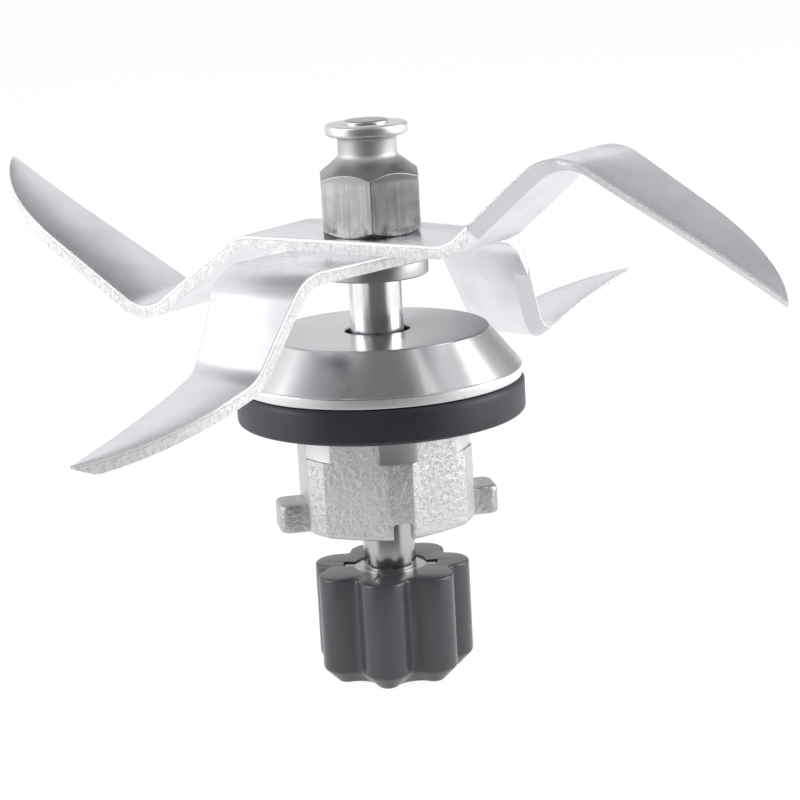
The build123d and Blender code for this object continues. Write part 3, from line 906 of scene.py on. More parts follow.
@dataclass(frozen=True)
class Arm:
    """One bent arm: three flat stretches joined by two bends, upward bends positive."""

    flat: float
    first_bend: float
    riser: float
    second_bend: float
    wing: float
    back_width: float
    back_length: float
    heel_width: float
    heel_length: float
    neck_width: float
    neck_length: float
    bend_middle: float = 6.8
    hub_half_width: float = 8.4
    tip_offset: float = 1.2
    back_pull: float = 0.55
    back_tip_share: float = 0.2
    ground_step: float = 0.25
    ground_start: float = 2.0
    ground_fade: float = 0.002

    def stretches(self) -> tuple[Grid, Grid]:
        """The flats and bends in order, from the shaft to the tip.

        Returns:
            Their lengths along the middle of the sheet, and their turns.
        """
        turns = np.radians([0.0, self.first_bend, 0.0, self.second_bend, 0.0])
        flats = np.array([self.flat, 0.0, self.riser, 0.0, self.wing])
        return flats + self.bend_middle * np.abs(turns), turns

    def length(self) -> float:
        """The developed length from the shaft to the tip."""
        return self.stretches()[0].sum()

    def ground_from(self) -> float:
        """Where along the arm the grinding starts."""
        return self.stretches()[0][:2].sum() + self.ground_start

    def path(self, along: Grid) -> tuple[Grid, Grid, Grid]:
        """Follows the middle of the sheet.

        A flat stretch adds its length times the cosine and sine of the heading. A bend turns the
        heading evenly and adds the difference of its sines and cosines over its rate of turn.

        Args:
            along: Developed distances from the shaft.

        Returns:
            Distance out, height and heading at each.
        """
        out, rise, heading = np.zeros_like(along), np.zeros_like(along), np.zeros_like(along)
        start, before = 0.0, 0.0
        for length, turn in zip(*self.stretches()):
            part = np.clip(along - start, 0, length)
            if turn == 0:
                out += part * cos(before)
                rise += part * sin(before)
            else:
                rate = turn / length
                out += (np.sin(before + rate * part) - sin(before)) / rate
                rise += (cos(before) - np.cos(before + rate * part)) / rate
                heading += rate * part
            before += turn
            start += length
        return out, rise, heading

    def stations(self) -> Grid:
        """Distances along the arm, closer in the bends, at the tip and where grinding starts.

        Returns:
            The distances, sorted.
        """
        ends = np.concatenate([[0], np.cumsum(self.stretches()[0])])
        counts = (9, 13, 9, 17)
        parts = [np.linspace(*pair, count) for *pair, count in zip(ends, ends[1:], counts)]
        share = np.linspace(0, 1, 34)
        parts.append(ends[4] + self.wing * (1 - (1 - share) ** 1.7))
        parts.append(self.ground_from() + self.ground_fade * np.array([-1, 1]))
        return np.unique(np.round(np.concatenate(parts), 6))

    def edges(self, along: Grid) -> tuple[Grid, Grid]:
        """Half widths of the bowed back edge and the ground edge, read in plan.

        The back edge is a cubic Bezier curve from its shoulder to the tip. The ground edge is the
        cubic through its four points, over the share of chord that each has reached.

        Args:
            along: Developed distances from the shaft.

        Returns:
            The back edge's and the ground edge's distance from the middle, each positive outwards.
        """
        out, tip = self.path(along)[0], self.length()
        shares = np.array([1, self.back_pull, self.back_tip_share, 0])
        knots = self.path(tip - self.back_length * shares)[0]
        wide, hub, step = self.back_width, self.hub_half_width, self.ground_step
        heights = np.array([wide, wide, wide * self.back_pull, -self.tip_offset])
        t = np.linspace(0, 1, 300)[:, None]
        weights = np.hstack([(1 - t) ** 3, 3 * t * (1 - t) ** 2, 3 * t**2 * (1 - t), t**3])
        back_x = np.concatenate([[0, self.flat], weights @ knots])
        back_y = np.concatenate([[hub, hub], weights @ heights])
        places = [tip, tip - self.neck_length, tip - self.heel_length, self.ground_from()]
        x = self.path(np.array(places))[0]
        y = np.array([self.tip_offset, self.neck_width, self.heel_width - step, hub - step])
        chord = np.concatenate([[0], np.cumsum(np.hypot(np.diff(x), np.diff(y)))])
        fine = np.linspace(0, chord[-1], 300)
        cubic_x, cubic_y = (np.polynomial.Polynomial.fit(chord, part, 3)(fine) for part in (x, y))
        ground = np.interp(out, cubic_x[::-1], cubic_y[::-1])
        back = np.interp(out, back_x, back_y)
        return back, np.where(along < self.ground_from(), hub, ground)


@dataclass(frozen=True)
class Blade(Part):
    """A bent sheet with two arms, ground along the underside of its leading edges."""

    node: str
    low: Arm
    high: Arm
    angle: float
    foot: float
    sheet: float = 2.0
    bevel_width: float = 2.6
    land: float = 0.35
    edge_round: float = 0.16
    low_edge_round: float = 0.12
    slot = "blade_steel"
    finish = ("sheet", "cut", "ground")
    sharp = 24.0

    def rails(self, arm: Arm, side: int) -> Grid:
        """Six rails along one arm: two on top, then the lower corners and the bevel's inner line.

        A point at height w on the sheet sits at the path's point plus w along its normal. It is
        read w tan(heading) further along, so that the edges stand upright as they were cut.

        Args:
            arm: The arm.
            side: 1 for the arm along +X before the blade is turned, -1 for the other.

        Returns:
            Points as (6, station, xyz), from the hub to the tip.
        """
        along = arm.stations()
        back, cut = arm.edges(along)
        ground = along > arm.ground_from()
        depth = np.where(ground, self.sheet - self.land, 0.0)
        share = np.clip((back + cut) / self.bevel_width, 0, 1)
        half = self.sheet / 2
        inner_height = -half + depth * (1 - share)
        inner = np.where(ground, -cut + self.bevel_width * share, -cut)
        top = np.full_like(along, half)
        back_top, cut_top, cut_foot = (back, top), (-cut, top), (-cut, -half + depth)
        bevel, back_foot = (inner, inner_height), (back, inner_height)
        if side > 0:
            corners = [back_top, cut_top, cut_foot, bevel, back_foot, back_foot]
        else:
            corners = [cut_top, back_top, back_foot, back_foot, bevel, cut_foot]
        heading = arm.path(along)[2]
        rails = []
        for across, height in corners:
            shifted = np.clip(along + height * np.tan(heading), 0, arm.length())
            out, rise, lean = arm.path(shifted)
            x = out - height * np.sin(lean)
            z = rise + height * np.cos(lean) + self.foot + half
            rails.append(np.stack([side * x, side * across, z], -1))
        return np.stack(rails)

    def mesh(self) -> Object:
        """The two arms' rails end to end, rounded, closed to a point at each tip and turned.

        The first rounded edges and the walls under them are cut steel, the bevel is ground and
        the rest is sheet. The share across the cut is 1 on top and 0 below.

        Returns:
            The blade without its hole.
        """
        low, high = self.rails(self.low, -1), self.rails(self.high, 1)
        top, foot = self.edge_round, self.low_edge_round
        rails = np.concatenate([low[:, :0:-1], high], axis=1)
        steps = 3
        rows = rounded(rails, (top, top, foot, 0, 0, foot), steps)
        ends = [np.broadcast_to(rows[:, end].mean(0), (len(rows), 1, 3)) for end in (0, -1)]
        rows = spun(np.concatenate([ends[0], rows, ends[1]], axis=1), radians(self.angle))
        sheet, cut, ground = range(3)
        arcs = (cut, cut, cut, sheet, sheet, cut)
        walls = (sheet, cut, ground, sheet, ground, cut)
        labels = [label for arc, wall in zip(arcs, walls) for label in [arc] * steps + [wall]]
        return make_mesh(self.node, rows, labels, False, self.sharp, across=(1, 1, 0, 0, 0, 0))

    def tools(self) -> Iterator[tuple[Object, Cut]]:
        """The hole that slips over the flats of the shaft.

        Yields:
            The hole's shape, to be removed.
        """
        angles = flatted_angles(48, FIT)
        low, high = self.foot - self.sheet, self.foot + 2 * self.sheet
        rails = ring_rails(0, flatted(angles, FIT), low, high, angles)
        yield make_mesh("blade_hole", rails, (1,)), Cut.REMOVE


# Widths and lengths from the tip of the back edge, the heel and the neck
UPPER_PLAN = (9.8, 20.0, 6.2, 32.0, 2.7, 14.0)
LOWER_PLAN = (8.4, 24.0, 5.9, 32.0, 2.3, 18.0)


@dataclass(frozen=True)
class BladeSet:
    """The two crossed blades."""

    dipped: Arm = Arm(16.7, -35.4, 16.1, 68.7, 36.5, *UPPER_PLAN)
    raised: Arm = Arm(16.3, 40.5, 14.9, -73.3, 33.8, *UPPER_PLAN)
    shallow: Arm = Arm(19.5, -51.2, 11.6, 35.5, 25.9, *LOWER_PLAN)
    deep: Arm = Arm(19.0, -61.3, 13.1, 73.5, 23.4, *LOWER_PLAN)
    upper_angle: float = -44.4
    lower_angle: float = 37.1

    def dress(self, finishes: Finishes) -> None:
        """Builds and dresses both blades.

        Args:
            finishes: The finishes to choose from.
        """
        upper = (self.dipped, self.raised, self.upper_angle, UPPER_BLADE_FOOT)
        lower = (self.shallow, self.deep, self.lower_angle, LOWER_BLADE_FOOT)
        Blade("upper_blade", *upper).dress(finishes)
        Blade("lower_blade", *lower).dress(finishes)


@dataclass(frozen=True)
class CapNut(Part):
    """A hexagon cut by a cone at each end, a waisted neck and a rim."""

    flats: float = 14.5
    corner_height: float = 8.5
    cone_angle: float = 38.0
    neck_radius: float = 4.4
    neck_height: float = 3.1
    rim_step: float = 1.8
    rim_height: float = 1.65
    foot_step: float = 0.3
    foot_angle: float = 35.0
    corner_angle: float = -98.6
    bore: float = 3.32
    corner_blunt: float = 0.04
    corner_margin: float = 0.004
    side_columns: int = 23
    node = "cap_nut"
    slot = "turned_steel"
    finish = ("nut",)
    sharp = 40.0

    def columns(self) -> Grid:
        """Angles of the columns, the same on each side and close together at its corner.

        Returns:
            The angles, sorted.
        """
        apothem = self.flats / 2
        blunt = pi / 6 - np.arccos(apothem / (apothem / cos(pi / 6) - self.corner_blunt))
        near = blunt + self.corner_margin
        even = np.linspace(near, pi / 3 - near, self.side_columns)[:-1]
        side = np.concatenate([[-near, -blunt, 0.0, blunt], even])
        turns = radians(self.corner_angle) + np.arange(6)[:, None] * pi / 3
        return np.sort(np.mod((side[None] + turns).ravel(), 2 * pi))

    def hexagon(self, angles: Grid) -> Grid:
        """Half flats / cos(angle from the middle of the nearest flat), blunted at the corners.

        Args:
            angles: The angles about the shaft.

        Returns:
            The radius at each angle.
        """
        apothem = self.flats / 2
        off = np.mod(angles - radians(self.corner_angle), pi / 3) - pi / 6
        return np.minimum(apothem / np.cos(off), apothem / cos(pi / 6) - self.corner_blunt)

    def mesh(self) -> Object:
        """Each column's corners: the flat ends where it meets the cones, which leaves scallops.

        Returns:
            The nut.
        """
        angles = self.columns()
        wall = self.hexagon(angles)
        apothem = self.flats / 2
        corner, slope = apothem / cos(pi / 6), tan(radians(self.cone_angle))
        within, rim = apothem - self.foot_step, self.neck_radius + self.rim_step
        foot = NUT_FOOT + (wall - within) * tan(radians(self.foot_angle))
        shoulder = NUT_FOOT + self.corner_height + (corner - wall) * slope
        neck_foot = NUT_FOOT + self.corner_height + (corner - self.neck_radius) * slope
        rim_foot = neck_foot + self.neck_height
        top = rim_foot + self.rim_height
        levels: tuple[Level, ...] = (
            (self.bore, NUT_FOOT, 0.1),
            (within, NUT_FOOT, 0.15),
            (wall, foot, 0.12),
            (wall, shoulder, 0.16),
            (self.neck_radius, neck_foot, 1.2),
            (self.neck_radius, rim_foot, 1.2),
            (rim, rim_foot, 0.45),
            (rim, top, 0.45),
            (self.bore, top, 0.15),
        )
        return turned(self.node, levels, angles, 6, sharp=self.sharp)


@dataclass(frozen=True)
class Shaft(Part):
    """The shaft: flats at both ends, a clip groove and a thinner upper end that is peened over."""

    spigot: float = 3.3
    flats_top: float = 68.4
    groove_foot: float = 28.25
    groove_top: float = 29.1
    groove_radius: float = 3.65
    end_chamfer: float = 0.25
    node = "shaft"
    slot = "shaft_steel"
    finish = ("shaft",)

    def mesh(self) -> Object:
        """Rails about the axis, whose radius follows the flats where there are any.

        Returns:
            The shaft.
        """
        angles = flatted_angles(96)
        flats = flatted(angles)
        levels: tuple[Level, ...] = (
            (0.0, SHAFT_FOOT, 0.0),
            (flats, SHAFT_FOOT, 0.2),
            (flats, INSERT_TOP, 0.0),
            (SHAFT_RADIUS, INSERT_TOP, 0.1),
            (SHAFT_RADIUS, self.groove_foot, 0.05),
            (self.groove_radius, self.groove_foot, 0.05),
            (self.groove_radius, self.groove_top, 0.05),
            (SHAFT_RADIUS, self.groove_top, 0.05),
            (SHAFT_RADIUS, COLLAR_FOOT, 0.1),
            (flats, COLLAR_FOOT, 0.0),
            (flats, self.flats_top, 0.1),
            (self.spigot, self.flats_top, 0.0),
            (self.spigot, SHAFT_TOP - self.end_chamfer, 0.15),
            (self.spigot - self.end_chamfer, SHAFT_TOP, 0.15),
            (0.0, SHAFT_TOP, 0.0),
        )
        return turned(self.node, levels, angles, 3)


@dataclass(frozen=True)
class Collar(Part):
    """The washer that carries the blades."""

    radius: float = 8.2
    edge: float = 0.3
    node = "blade_collar"
    slot = "turned_steel"
    finish = ("collar",)

    def mesh(self) -> Object:
        """Four rails: the hole over the flats within, the rounded rim without.

        Returns:
            The washer.
        """
        angles = flatted_angles(120, FIT)
        hole = flatted(angles, FIT)
        rails = ring_rails(hole, self.radius, COLLAR_FOOT, LOWER_BLADE_FOOT, angles)
        return make_mesh(self.node, rounded(rails, (0.05, self.edge, self.edge, 0.05), 4))


@dataclass(frozen=True)
class Housing(Part):
    """The casting: flange and cone above, a twelve-sided body with two lugs below."""

    corner_radius: float = 13.65
    wide_half_angle: float = 22.2
    corner_round: float = 0.55
    side_stretch: float = 0.55
    band_radius: float = 13.2
    band_blend: float = 0.04
    spigot_radius: float = 17.5
    rim_radius: float = 21.6
    cone_foot_radius: float = 21.4
    flange_radius: float = 16.85
    edge: float = 0.2
    hole_radius: float = 4.95
    bore_radius: float = 11.02
    mouth: float = 0.4
    groove_radius: float = 11.6
    groove_foot: float = 27.25
    groove_top: float = 28.35
    foot_round: float = 1.2
    lug_reach: float = 16.9
    lug_root: float = 11.5
    lug_width: float = 6.6
    lug_height: float = 4.4
    lug_corner: float = 1.4
    lug_edge: float = 0.6
    notch_width: float = 3.0
    notch_height: float = 2.7
    notch_round: float = 0.5
    notch_inward: float = 4.0
    notch_outward: float = 2.0
    notch_below: float = 1.0
    node = "housing"
    slot = "cast_metal"
    finish = ("cast", "polished", "honed", "rim")
    body = Body.HOUSING

    def outline(self) -> Grid:
        """The twelve-sided outline with rounded corners.

        Each side is cut into short stretches, so that the turned faces above stay round.

        Returns:
            Points as (column, xy).
        """
        wide = radians(self.wide_half_angle)
        turns = np.repeat(np.arange(6) * pi / 3, 2) + np.tile([-wide, wide], 6)
        corners = around(self.corner_radius, 0.0, turns)[:, None]
        points = rounded(corners, [self.corner_round] * 12, 5)[:, 0, :2]
        following = np.roll(points, -1, axis=0)
        gap = np.linalg.norm(following - points, axis=1)
        pieces = np.maximum(np.ceil(gap / self.side_stretch).astype(int), 1)
        start = np.repeat(np.arange(len(points)), pieces)
        within = np.arange(pieces.sum()) - np.repeat(np.cumsum(pieces) - pieces, pieces)
        share = (within / np.repeat(pieces, pieces))[:, None]
        return points[start] * (1 - share) + following[start] * share

    def mesh(self) -> Object:
        """The turned and cast faces as one closed loop of rails.

        Returns:
            The housing without its lugs and its notch.
        """
        outline = self.outline()
        angles, order = in_order(outline)
        wall = np.linalg.norm(outline[order], axis=1)
        band = np.minimum(wall, self.band_radius)
        bore, top, edge = self.bore_radius, FLANGE_TOP, self.edge
        cast, polished, honed, rim = range(4)
        levels = (
            (bore + self.mouth, HOUSING_FOOT, 0.1, cast),
            (wall, HOUSING_FOOT, self.foot_round, cast),
            (wall, CAST_TOP, 0.12, honed),
            (band, CAST_TOP, 0.05, honed),
            (band, SPIGOT_FOOT, 0.3, honed),
            (self.spigot_radius, SPIGOT_FOOT, 0.2, polished),
            (self.spigot_radius, RIM_FOOT, 0.1, polished),
            (self.rim_radius, RIM_FOOT, edge, rim),
            (self.rim_radius, CONE_FOOT, edge, polished),
            (self.cone_foot_radius, CONE_FOOT + edge, edge, polished),
            (self.flange_radius, top - edge, edge, polished),
            (self.flange_radius - edge, top, edge, polished),
            (self.hole_radius, top, 0.25, polished),
            (self.hole_radius, BORE_TOP, 0.1, polished),
            (bore, BORE_TOP, 0.1, polished),
            (bore, self.groove_top, 0.05, polished),
            (self.groove_radius, self.groove_top, 0.05, polished),
            (self.groove_radius, self.groove_foot, 0.05, polished),
            (bore, self.groove_foot, 0.05, polished),
            (bore, HOUSING_FOOT + self.mouth, 0.05, polished),
        )
        labels = [level[3] for level in levels]
        piece = turned(self.node, [level[:3] for level in levels], angles, 4, labels)
        self.leave_cast(piece.data)
        return piece

    def leave_cast(self, mesh: bpy.types.Mesh) -> None:
        """Gives the cast skin back to the faces that the band's turning never reached.

        Args:
            mesh: The housing's mesh, whose face middles are compared with the band's radius.
        """
        middles = np.empty(len(mesh.polygons) * 3)
        numbers = np.empty(len(mesh.polygons), np.int32)
        mesh.polygons.foreach_get("center", middles)
        mesh.polygons.foreach_get("material_index", numbers)
        x, y, z = middles.reshape(-1, 3).T / MM
        radius = np.hypot(x, y)
        missed = (z > CAST_TOP) & (z < SPIGOT_FOOT) & (radius > self.bore_radius + 1)
        missed &= radius < self.band_radius - self.band_blend
        mesh.polygons.foreach_set("material_index", np.where(missed, 0, numbers))

    def tools(self) -> Iterator[tuple[Object, Cut]]:
        """The two lugs, then the slot in the foot.

        Yields:
            Each shape, and whether it is added or removed.
        """
        for side in (1, -1):
            yield self.lug(side), Cut.ADD
        yield self.notch(), Cut.REMOVE

    def lug(self, side: int) -> Object:
        """One lug: a rounded rectangle in plan, carried up between two rounded rims.

        Args:
            side: 1 for the lug along +X, -1 for the other.

        Returns:
            The lug as a closed shape.
        """
        near, far, half = self.lug_root, self.lug_reach, self.lug_width / 2
        corners = np.array([[near, -half, 0], [far, -half, 0], [far, half, 0], [near, half, 0]])
        plan = rounded(corners[:, None], (0.1, self.lug_corner, self.lug_corner, 0.1), 8)[:, 0]
        plan = plan * (side, side, 1)
        middle = np.broadcast_to([side * (near + far) / 2, 0, 0], plan.shape)
        low, high = HOUSING_FOOT, HOUSING_FOOT + self.lug_height
        levels = ((middle, low), (plan, low), (plan, high), (middle, high))
        rails = np.stack([flat + (0, 0, level) for flat, level in levels])
        return make_mesh("lug", rounded(rails, (0, self.lug_edge, self.lug_edge, 0), 5))

    def notch(self) -> Object:
        """The slot in the foot, towards -Y, carried past the wall on both sides and below.

        Returns:
            The slot as a closed shape.
        """
        half, top = self.notch_width / 2, HOUSING_FOOT + self.notch_height
        low = HOUSING_FOOT - self.notch_below
        near, far = self.notch_inward - self.bore_radius, -self.corner_radius - self.notch_outward
        section = np.array([[-half, low], [half, low], [half, top], [-half, top]])
        rails = np.empty((4, 2, 3))
        rails[..., 0], rails[..., 1], rails[..., 2] = section[:, :1], (near, far), section[:, 1:]
        rows = rounded(rails, (0, 0, self.notch_round, self.notch_round), 4)
        ends = np.broadcast_to(rows.mean(0, keepdims=True), rows.shape)
        rows = np.concatenate([ends[:, :1], rows, ends[:, 1:]], axis=1)
        return make_mesh("notch", rows, closed=False)


@dataclass(frozen=True)
class SealingRing(Part):
    """The rubber ring stretched over the spigot under the rim."""

    inner: float = 17.6
    outer: float = 21.9
    foot: float = 40.9
    node = "sealing_ring"
    slot = "sealing_rubber"
    finish = ("rubber",)
    body = Body.HOUSING

    def mesh(self) -> Object:
        """Four rails, the outer ones well rounded."""
        rails = ring_rails(self.inner, self.outer, self.foot, RIM_FOOT, whole_turn(180))
        return make_mesh(self.node, rounded(rails, (0.2, 0.6, 1.1, 0.2), 7))


@dataclass(frozen=True)
class Insert(Part):
    """The keyed metal hub moulded into the coupling."""

    radius: float = 5.6
    key_reach: float = 7.2
    key_width: float = 2.2
    key_angle: float = -15.0
    node = "coupling_insert"
    slot = "turned_steel"
    finish = ("insert",)

    def key_corners(self, growth: float) -> tuple[float, float]:
        """Angles from a key's middle to the corners of its end and of its root."""
        half = self.key_width / 2 + growth
        return np.arctan2(half, self.key_reach + growth), np.arcsin(half / (self.radius + growth))

    def wall(self, angles: Grid, growth: float = 0.0) -> Grid:
        """Radius of the outline: reach / cos on a key's end, half width / sin on its side.

        Args:
            angles: The angles about the shaft.
            growth: How far the outline is moved outwards.

        Returns:
            The radius at each angle, the hub's own between the keys.
        """
        tip, root = self.key_corners(growth)
        off = np.abs(np.mod(angles - radians(self.key_angle) + pi / 4, pi / 2) - pi / 4)
        end = (self.key_reach + growth) / np.cos(off)
        flank = (self.key_width / 2 + growth) / np.maximum(np.sin(off), 1e-6)
        return np.where(off <= tip, end, np.where(off < root, flank, self.radius + growth))

    def columns(self, spread: Grid, growth: float = 0.0) -> Grid:
        """Adds the keys' corner angles to a spread of angles.

        Args:
            spread: The angles that are kept.
            growth: How far the outline is moved outwards.

        Returns:
            All the angles, sorted.
        """
        tip, root = self.key_corners(growth)
        middles = radians(self.key_angle) + np.arange(4)[:, None] * pi / 2
        keys = middles + np.array([-root, -tip, tip, root])
        return np.unique(np.round(np.mod(np.concatenate([spread, keys.ravel()]), 2 * pi), 7))

    def mesh(self) -> Object:
        """Four rails: the keyed wall without, the driving hole within.

        Returns:
            The hub.
        """
        angles = self.columns(flatted_angles(120, FIT))
        hole, wall = flatted(angles, FIT), self.wall(angles)
        rails = ring_rails(hole, wall, SHAFT_FOOT, INSERT_TOP, angles)
        return make_mesh(self.node, rounded(rails, (0.05, 0.1, 0.2, 0.15), 4))


@dataclass(frozen=True)
class Coupling(Part):
    """The lobed moulding that is driven from below."""

    radius: float = 12.2
    lobes: int = 7
    lobe_share: float = 0.303
    valley_share: float = 0.795
    first_lobe: float = -108.0
    foot_chamfer: float = 2.3
    top_round: float = 0.5
    insert: Insert = Insert()
    node = "drive_coupling"
    slot = "dark_moulding"
    finish = ("moulding",)
    sharp = 50.0

    def outline(self) -> tuple[Grid, Grid]:
        """Round lobes joined by round valleys, each arc tangent to the next.

        A lobe's point is its centre plus its radius along the spoke. A valley's point is its
        centre, which lies outside, less its radius along the spoke.

        Returns:
            Points and outward normals, each as (column, xy).
        """
        half_step = pi / self.lobes
        lobe, valley = self.lobe_share * self.radius, self.valley_share * self.radius
        centre = self.radius - lobe
        waist = centre * cos(half_step)
        lack = lobe**2 - centre**2 - valley**2 + 2 * valley * waist
        hollow = lack / (2 * (valley - waist - lobe))
        away = (valley + hollow) * np.array([cos(half_step), sin(half_step)])
        span = np.arctan2(away[1], away[0] - centre)
        lobe_normals = spokes(np.linspace(-span, span, 25))
        valley_normals = spokes(np.linspace(span, 2 * half_step - span, 13)[1:-1])
        arcs = [np.array([centre, 0]) + lobe * lobe_normals, away - hollow * valley_normals]
        turns = radians(self.first_lobe) + 2 * half_step * np.arange(self.lobes)[:, None]
        points = spun(np.concatenate(arcs), turns)
        normals = spun(np.concatenate([lobe_normals, valley_normals]), turns)
        return points.reshape(-1, 2), normals.reshape(-1, 2)

    def mesh(self) -> Object:
        """Rails from the chamfered foot up the lobes, over the top and down into the hub's cavity.

        Returns:
            The coupling.
        """
        points, normals = self.outline()
        known, order = in_order(points)
        columns = self.insert.columns(known, FIT)
        numbers = (part[order] for part in (*points.T, *normals.T))
        x, y, *normal = (np.interp(columns, known, part, period=2 * pi) for part in numbers)
        out, cavity = unit(np.stack(normal, -1)), self.insert.wall(columns, FIT)

        def rail(inset: float, level: float) -> Grid:
            """The outline drawn in along its normals, at a level."""
            spread = np.stack([x, y], -1) - inset * out
            return np.column_stack([spread, np.full(len(columns), level)])

        rails = [
            around(0.0, 0.0, columns),
            rail(self.foot_chamfer, 0.0),
            rail(0.0, self.foot_chamfer),
            rail(0.0, COUPLING_TOP),
            around(cavity, COUPLING_TOP, columns),
            around(cavity, SHAFT_FOOT, columns),
            around(0.0, SHAFT_FOOT, columns),
        ]
        rows = rounded(np.stack(rails), (0, 0.5, 1.0, self.top_round, 0.12, 0.05, 0), 5)
        return make_mesh(self.node, rows, sharp=self.sharp)


@dataclass(frozen=True)
class InnerStack:
    """The bearings, seal, spacers and clips, whose CAD shapes stay."""

    words_of: tuple[tuple[str, tuple[str, ...]], ...] = (
        ("bearing", ("bearing_inner_ring", "bearing_outer_ring", "_spacer")),
        ("ball", ("bearing_balls",)),
        ("brass", ("bearing_cage",)),
        ("pressed", ("bearing_shields", "seal_case")),
        ("lip", ("lip_seal",)),
        ("spring", ("garter_spring", "curved_washer", "retaining_ring")),
    )

    def dress(self, finishes: Finishes) -> None:
        """Gives each kept node the finish whose word its name holds.

        Args:
            finishes: The finishes to choose from.
        """
        for name, node in sorted(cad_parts.items()):
            for finish, words in self.words_of:
                if any(word in name for word in words):
                    finishes.put(node, finish)
                    log.info("%s: kept, %s", name, finish)


# Studio


@dataclass(frozen=True)
class Lamp:
    """A soft rectangular lamp aimed at the object."""

    name: str
    place: tuple[float, float, float]
    width: float
    power: float
    height: float = 0.5
    aim: tuple[float, float, float] = (0, 0, 0.05)

    def build(self) -> None:
        """Places the lamp and turns its face to the aim."""
        light = bpy.data.lights.new(self.name, "AREA")
        light.shape = "RECTANGLE"
        light.size, light.size_y, light.energy = self.width, self.height, self.power
        back = unit(np.array(self.place) - np.array(self.aim))
        side = unit(np.cross([0, 0, 1.0], back))
        turn = np.eye(4)
        turn[:3] = np.stack([side, np.cross(back, side), back, self.place], -1)
        add_object(self.name, light).matrix_world = Matrix(turn.tolist())


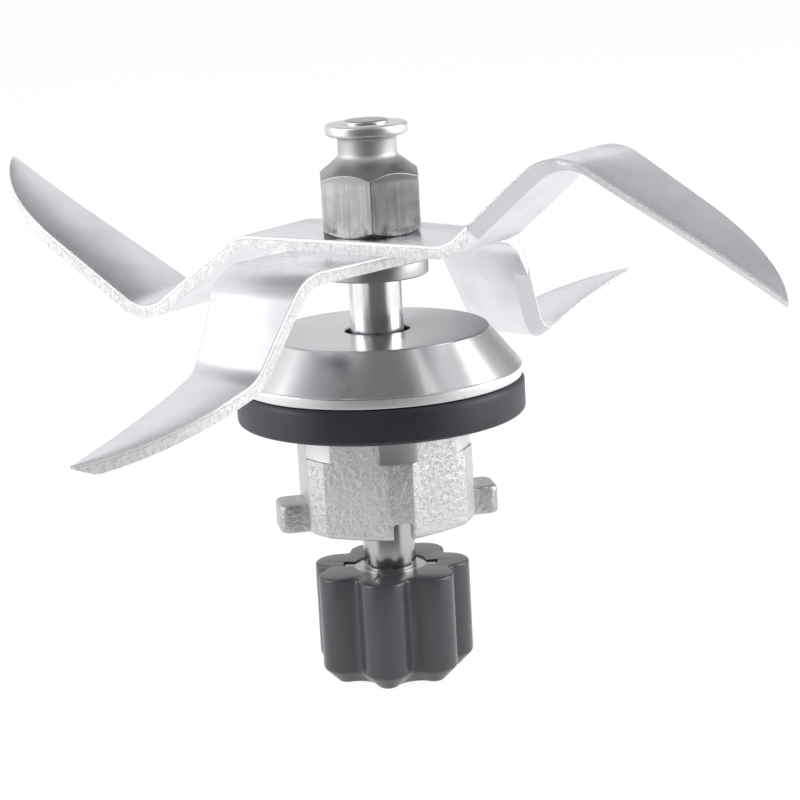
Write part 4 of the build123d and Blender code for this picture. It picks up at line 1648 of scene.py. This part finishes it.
@dataclass(frozen=True)
class Studio:
    """A white floor, soft lamps, a dark card behind the camera and the camera itself."""

    floor_size: float = 12.0
    card_radius: float = 0.085
    card_half_angle: float = 48.0
    card_foot: float = 0.001
    card_height: float = 0.20
    card_tone: float = 0.14
    surround_front: float = 0.07
    surround_low: float = 0.84
    surround_lift: float = 0.16
    surround_drop: float = 0.68
    surround_right: float = 0.52
    tilt: float = 12.84
    roll: float = -3.10
    distance: float = 382.9
    shift_right: float = 2.84
    shift_up: float = -11.26
    focal: float = 2519.0
    picture_width: float = 800.0
    swing: float = -10.0
    lamps: tuple[Lamp, ...] = (
        Lamp("left_lamp", (-0.40, -0.20, 0.50), 0.40, 1.1),
        Lamp("right_lamp", (0.34, -0.32, 0.50), 0.40, 0.85),
        Lamp("left_side_lamp", (-0.60, 0.05, 0.25), 0.40, 1.2),
        Lamp("right_side_lamp", (0.60, -0.05, 0.25), 0.40, 2.1),
        Lamp("left_strip", (-0.594, -0.084, 0.16), 0.13, 0.5),
        Lamp("right_strip", (0.530, -0.280, 0.16), 0.13, 0.9),
    )

    def floor(self) -> None:
        """A white sheet that looks like paper to the camera and in the metal, softly shadowed."""
        half = self.floor_size / 2
        corners = [(-half, -half, 0), (half, -half, 0), (half, half, 0), (-half, half, 0)]
        mesh = bpy.data.meshes.new("floor")
        mesh.from_pydata(corners, [], [(0, 1, 2, 3)])
        floor = add_object("floor", mesh)
        r = Surface("floor_paper")
        r.finish(base_color=(0.86, 0.86, 0.86), roughness=0.9)
        rays = r.node("ShaderNodeLightPath").socket.node.outputs
        kinds = ("Camera", "Glossy", "Transmission")
        camera, glossy, through = (Wire(r, rays[f"Is {kind} Ray"]) for kind in kinds)
        floor.data.materials.append(r.glow(1.1, 0.85 * (camera + glossy + through)))

    def card(self) -> None:
        """A curved dark card towards the camera that only reflections see."""
        angles = np.linspace(-self.card_half_angle, self.card_half_angle, 33)
        foot = spokes(np.radians(angles + self.swing - 90)) * self.card_radius
        count = len(foot)
        levels = (self.card_foot, self.card_height)
        rails = [np.column_stack([foot, np.full(count, level)]) for level in levels]
        first = np.arange(count - 1)
        faces = np.stack([first, first + 1, first + count + 1, first + count], -1)
        mesh = bpy.data.meshes.new("dark_card")
        mesh.from_pydata(np.concatenate(rails).tolist(), [], faces.tolist())
        card = add_object("dark_card", mesh)
        card.data.materials.append(Surface("dark_card").glow(self.card_tone, 1.0))
        for ray in ("camera", "diffuse", "shadow", "transmission"):
            setattr(card, f"visible_{ray}", False)

    def world(self) -> None:
        """A pale surround, brightest behind at middle height and darkest towards the camera."""
        world = bpy.data.worlds.new("surround")
        bpy.context.scene.world = world
        world.use_nodes = True
        r = Recipe(world.node_tree, "Generated")
        swing = radians(self.swing)
        front = r.x * sin(swing) - r.y * cos(swing)
        right = r.x * cos(swing) + r.y * sin(swing)
        height = self.surround_low + self.surround_lift * r.z.step(0.2, 0.45)
        height = height - self.surround_drop * r.z.step(0.61, 0.77)
        behind = height * (1.0 - self.surround_right * right.step(0.25, 0.5))
        dark = front.step(-0.1, 0.75)
        back = world.node_tree.nodes["Background"]
        r.join(back.inputs["Color"], (0.99, 0.985, 1.0))
        r.join(back.inputs["Strength"], behind * (1.0 - dark) + self.surround_front * dark)

    def camera(self) -> None:
        """The camera: tilted, rolled and swung about the shaft as in the picture."""
        tilt, roll, swing = radians(self.tilt), radians(self.roll), radians(self.swing)
        ahead = np.array([0, cos(tilt), -sin(tilt)])
        level, upright = np.array([1.0, 0, 0]), np.array([0, sin(tilt), cos(tilt)])
        right = level * cos(roll) + upright * sin(roll)
        up = upright * cos(roll) - level * sin(roll)
        place = np.array([self.shift_right, 0, self.shift_up]) - self.distance * ahead
        pose = np.eye(4)
        pose[:3] = spun(np.stack([right, up, -ahead, place]), swing).T
        pose[:3, 3] = (pose[:3, 3] + [0, 0, FLANGE_TOP]) * MM
        lens = bpy.data.cameras.new("camera")
        lens.sensor_width = 36.0
        lens.lens = self.focal / self.picture_width * lens.sensor_width
        lens.clip_start = 0.01
        camera = add_object("camera", lens)
        camera.matrix_world = Matrix(pose.tolist())
        bpy.context.scene.camera = camera

    def build(self) -> None:
        """Sets up everything around the object."""
        self.floor()
        self.card()
        self.world()
        for lamp in self.lamps:
            lamp.build()
        self.camera()
        bpy.context.scene.view_settings.view_transform = "Standard"


def main() -> None:
    """Builds each sub-assembly in order, then the studio."""
    logging.basicConfig(level=logging.INFO, format="%(name)s %(message)s")
    finishes = Finishes()
    for part in (BladeSet(), CapNut(), Shaft(), Collar(), Housing(), SealingRing()):
        part.dress(finishes)
    for part in (Insert(), Coupling(), InnerStack()):
        part.dress(finishes)
    Studio().build()


if __name__ == "__main__":
    main()
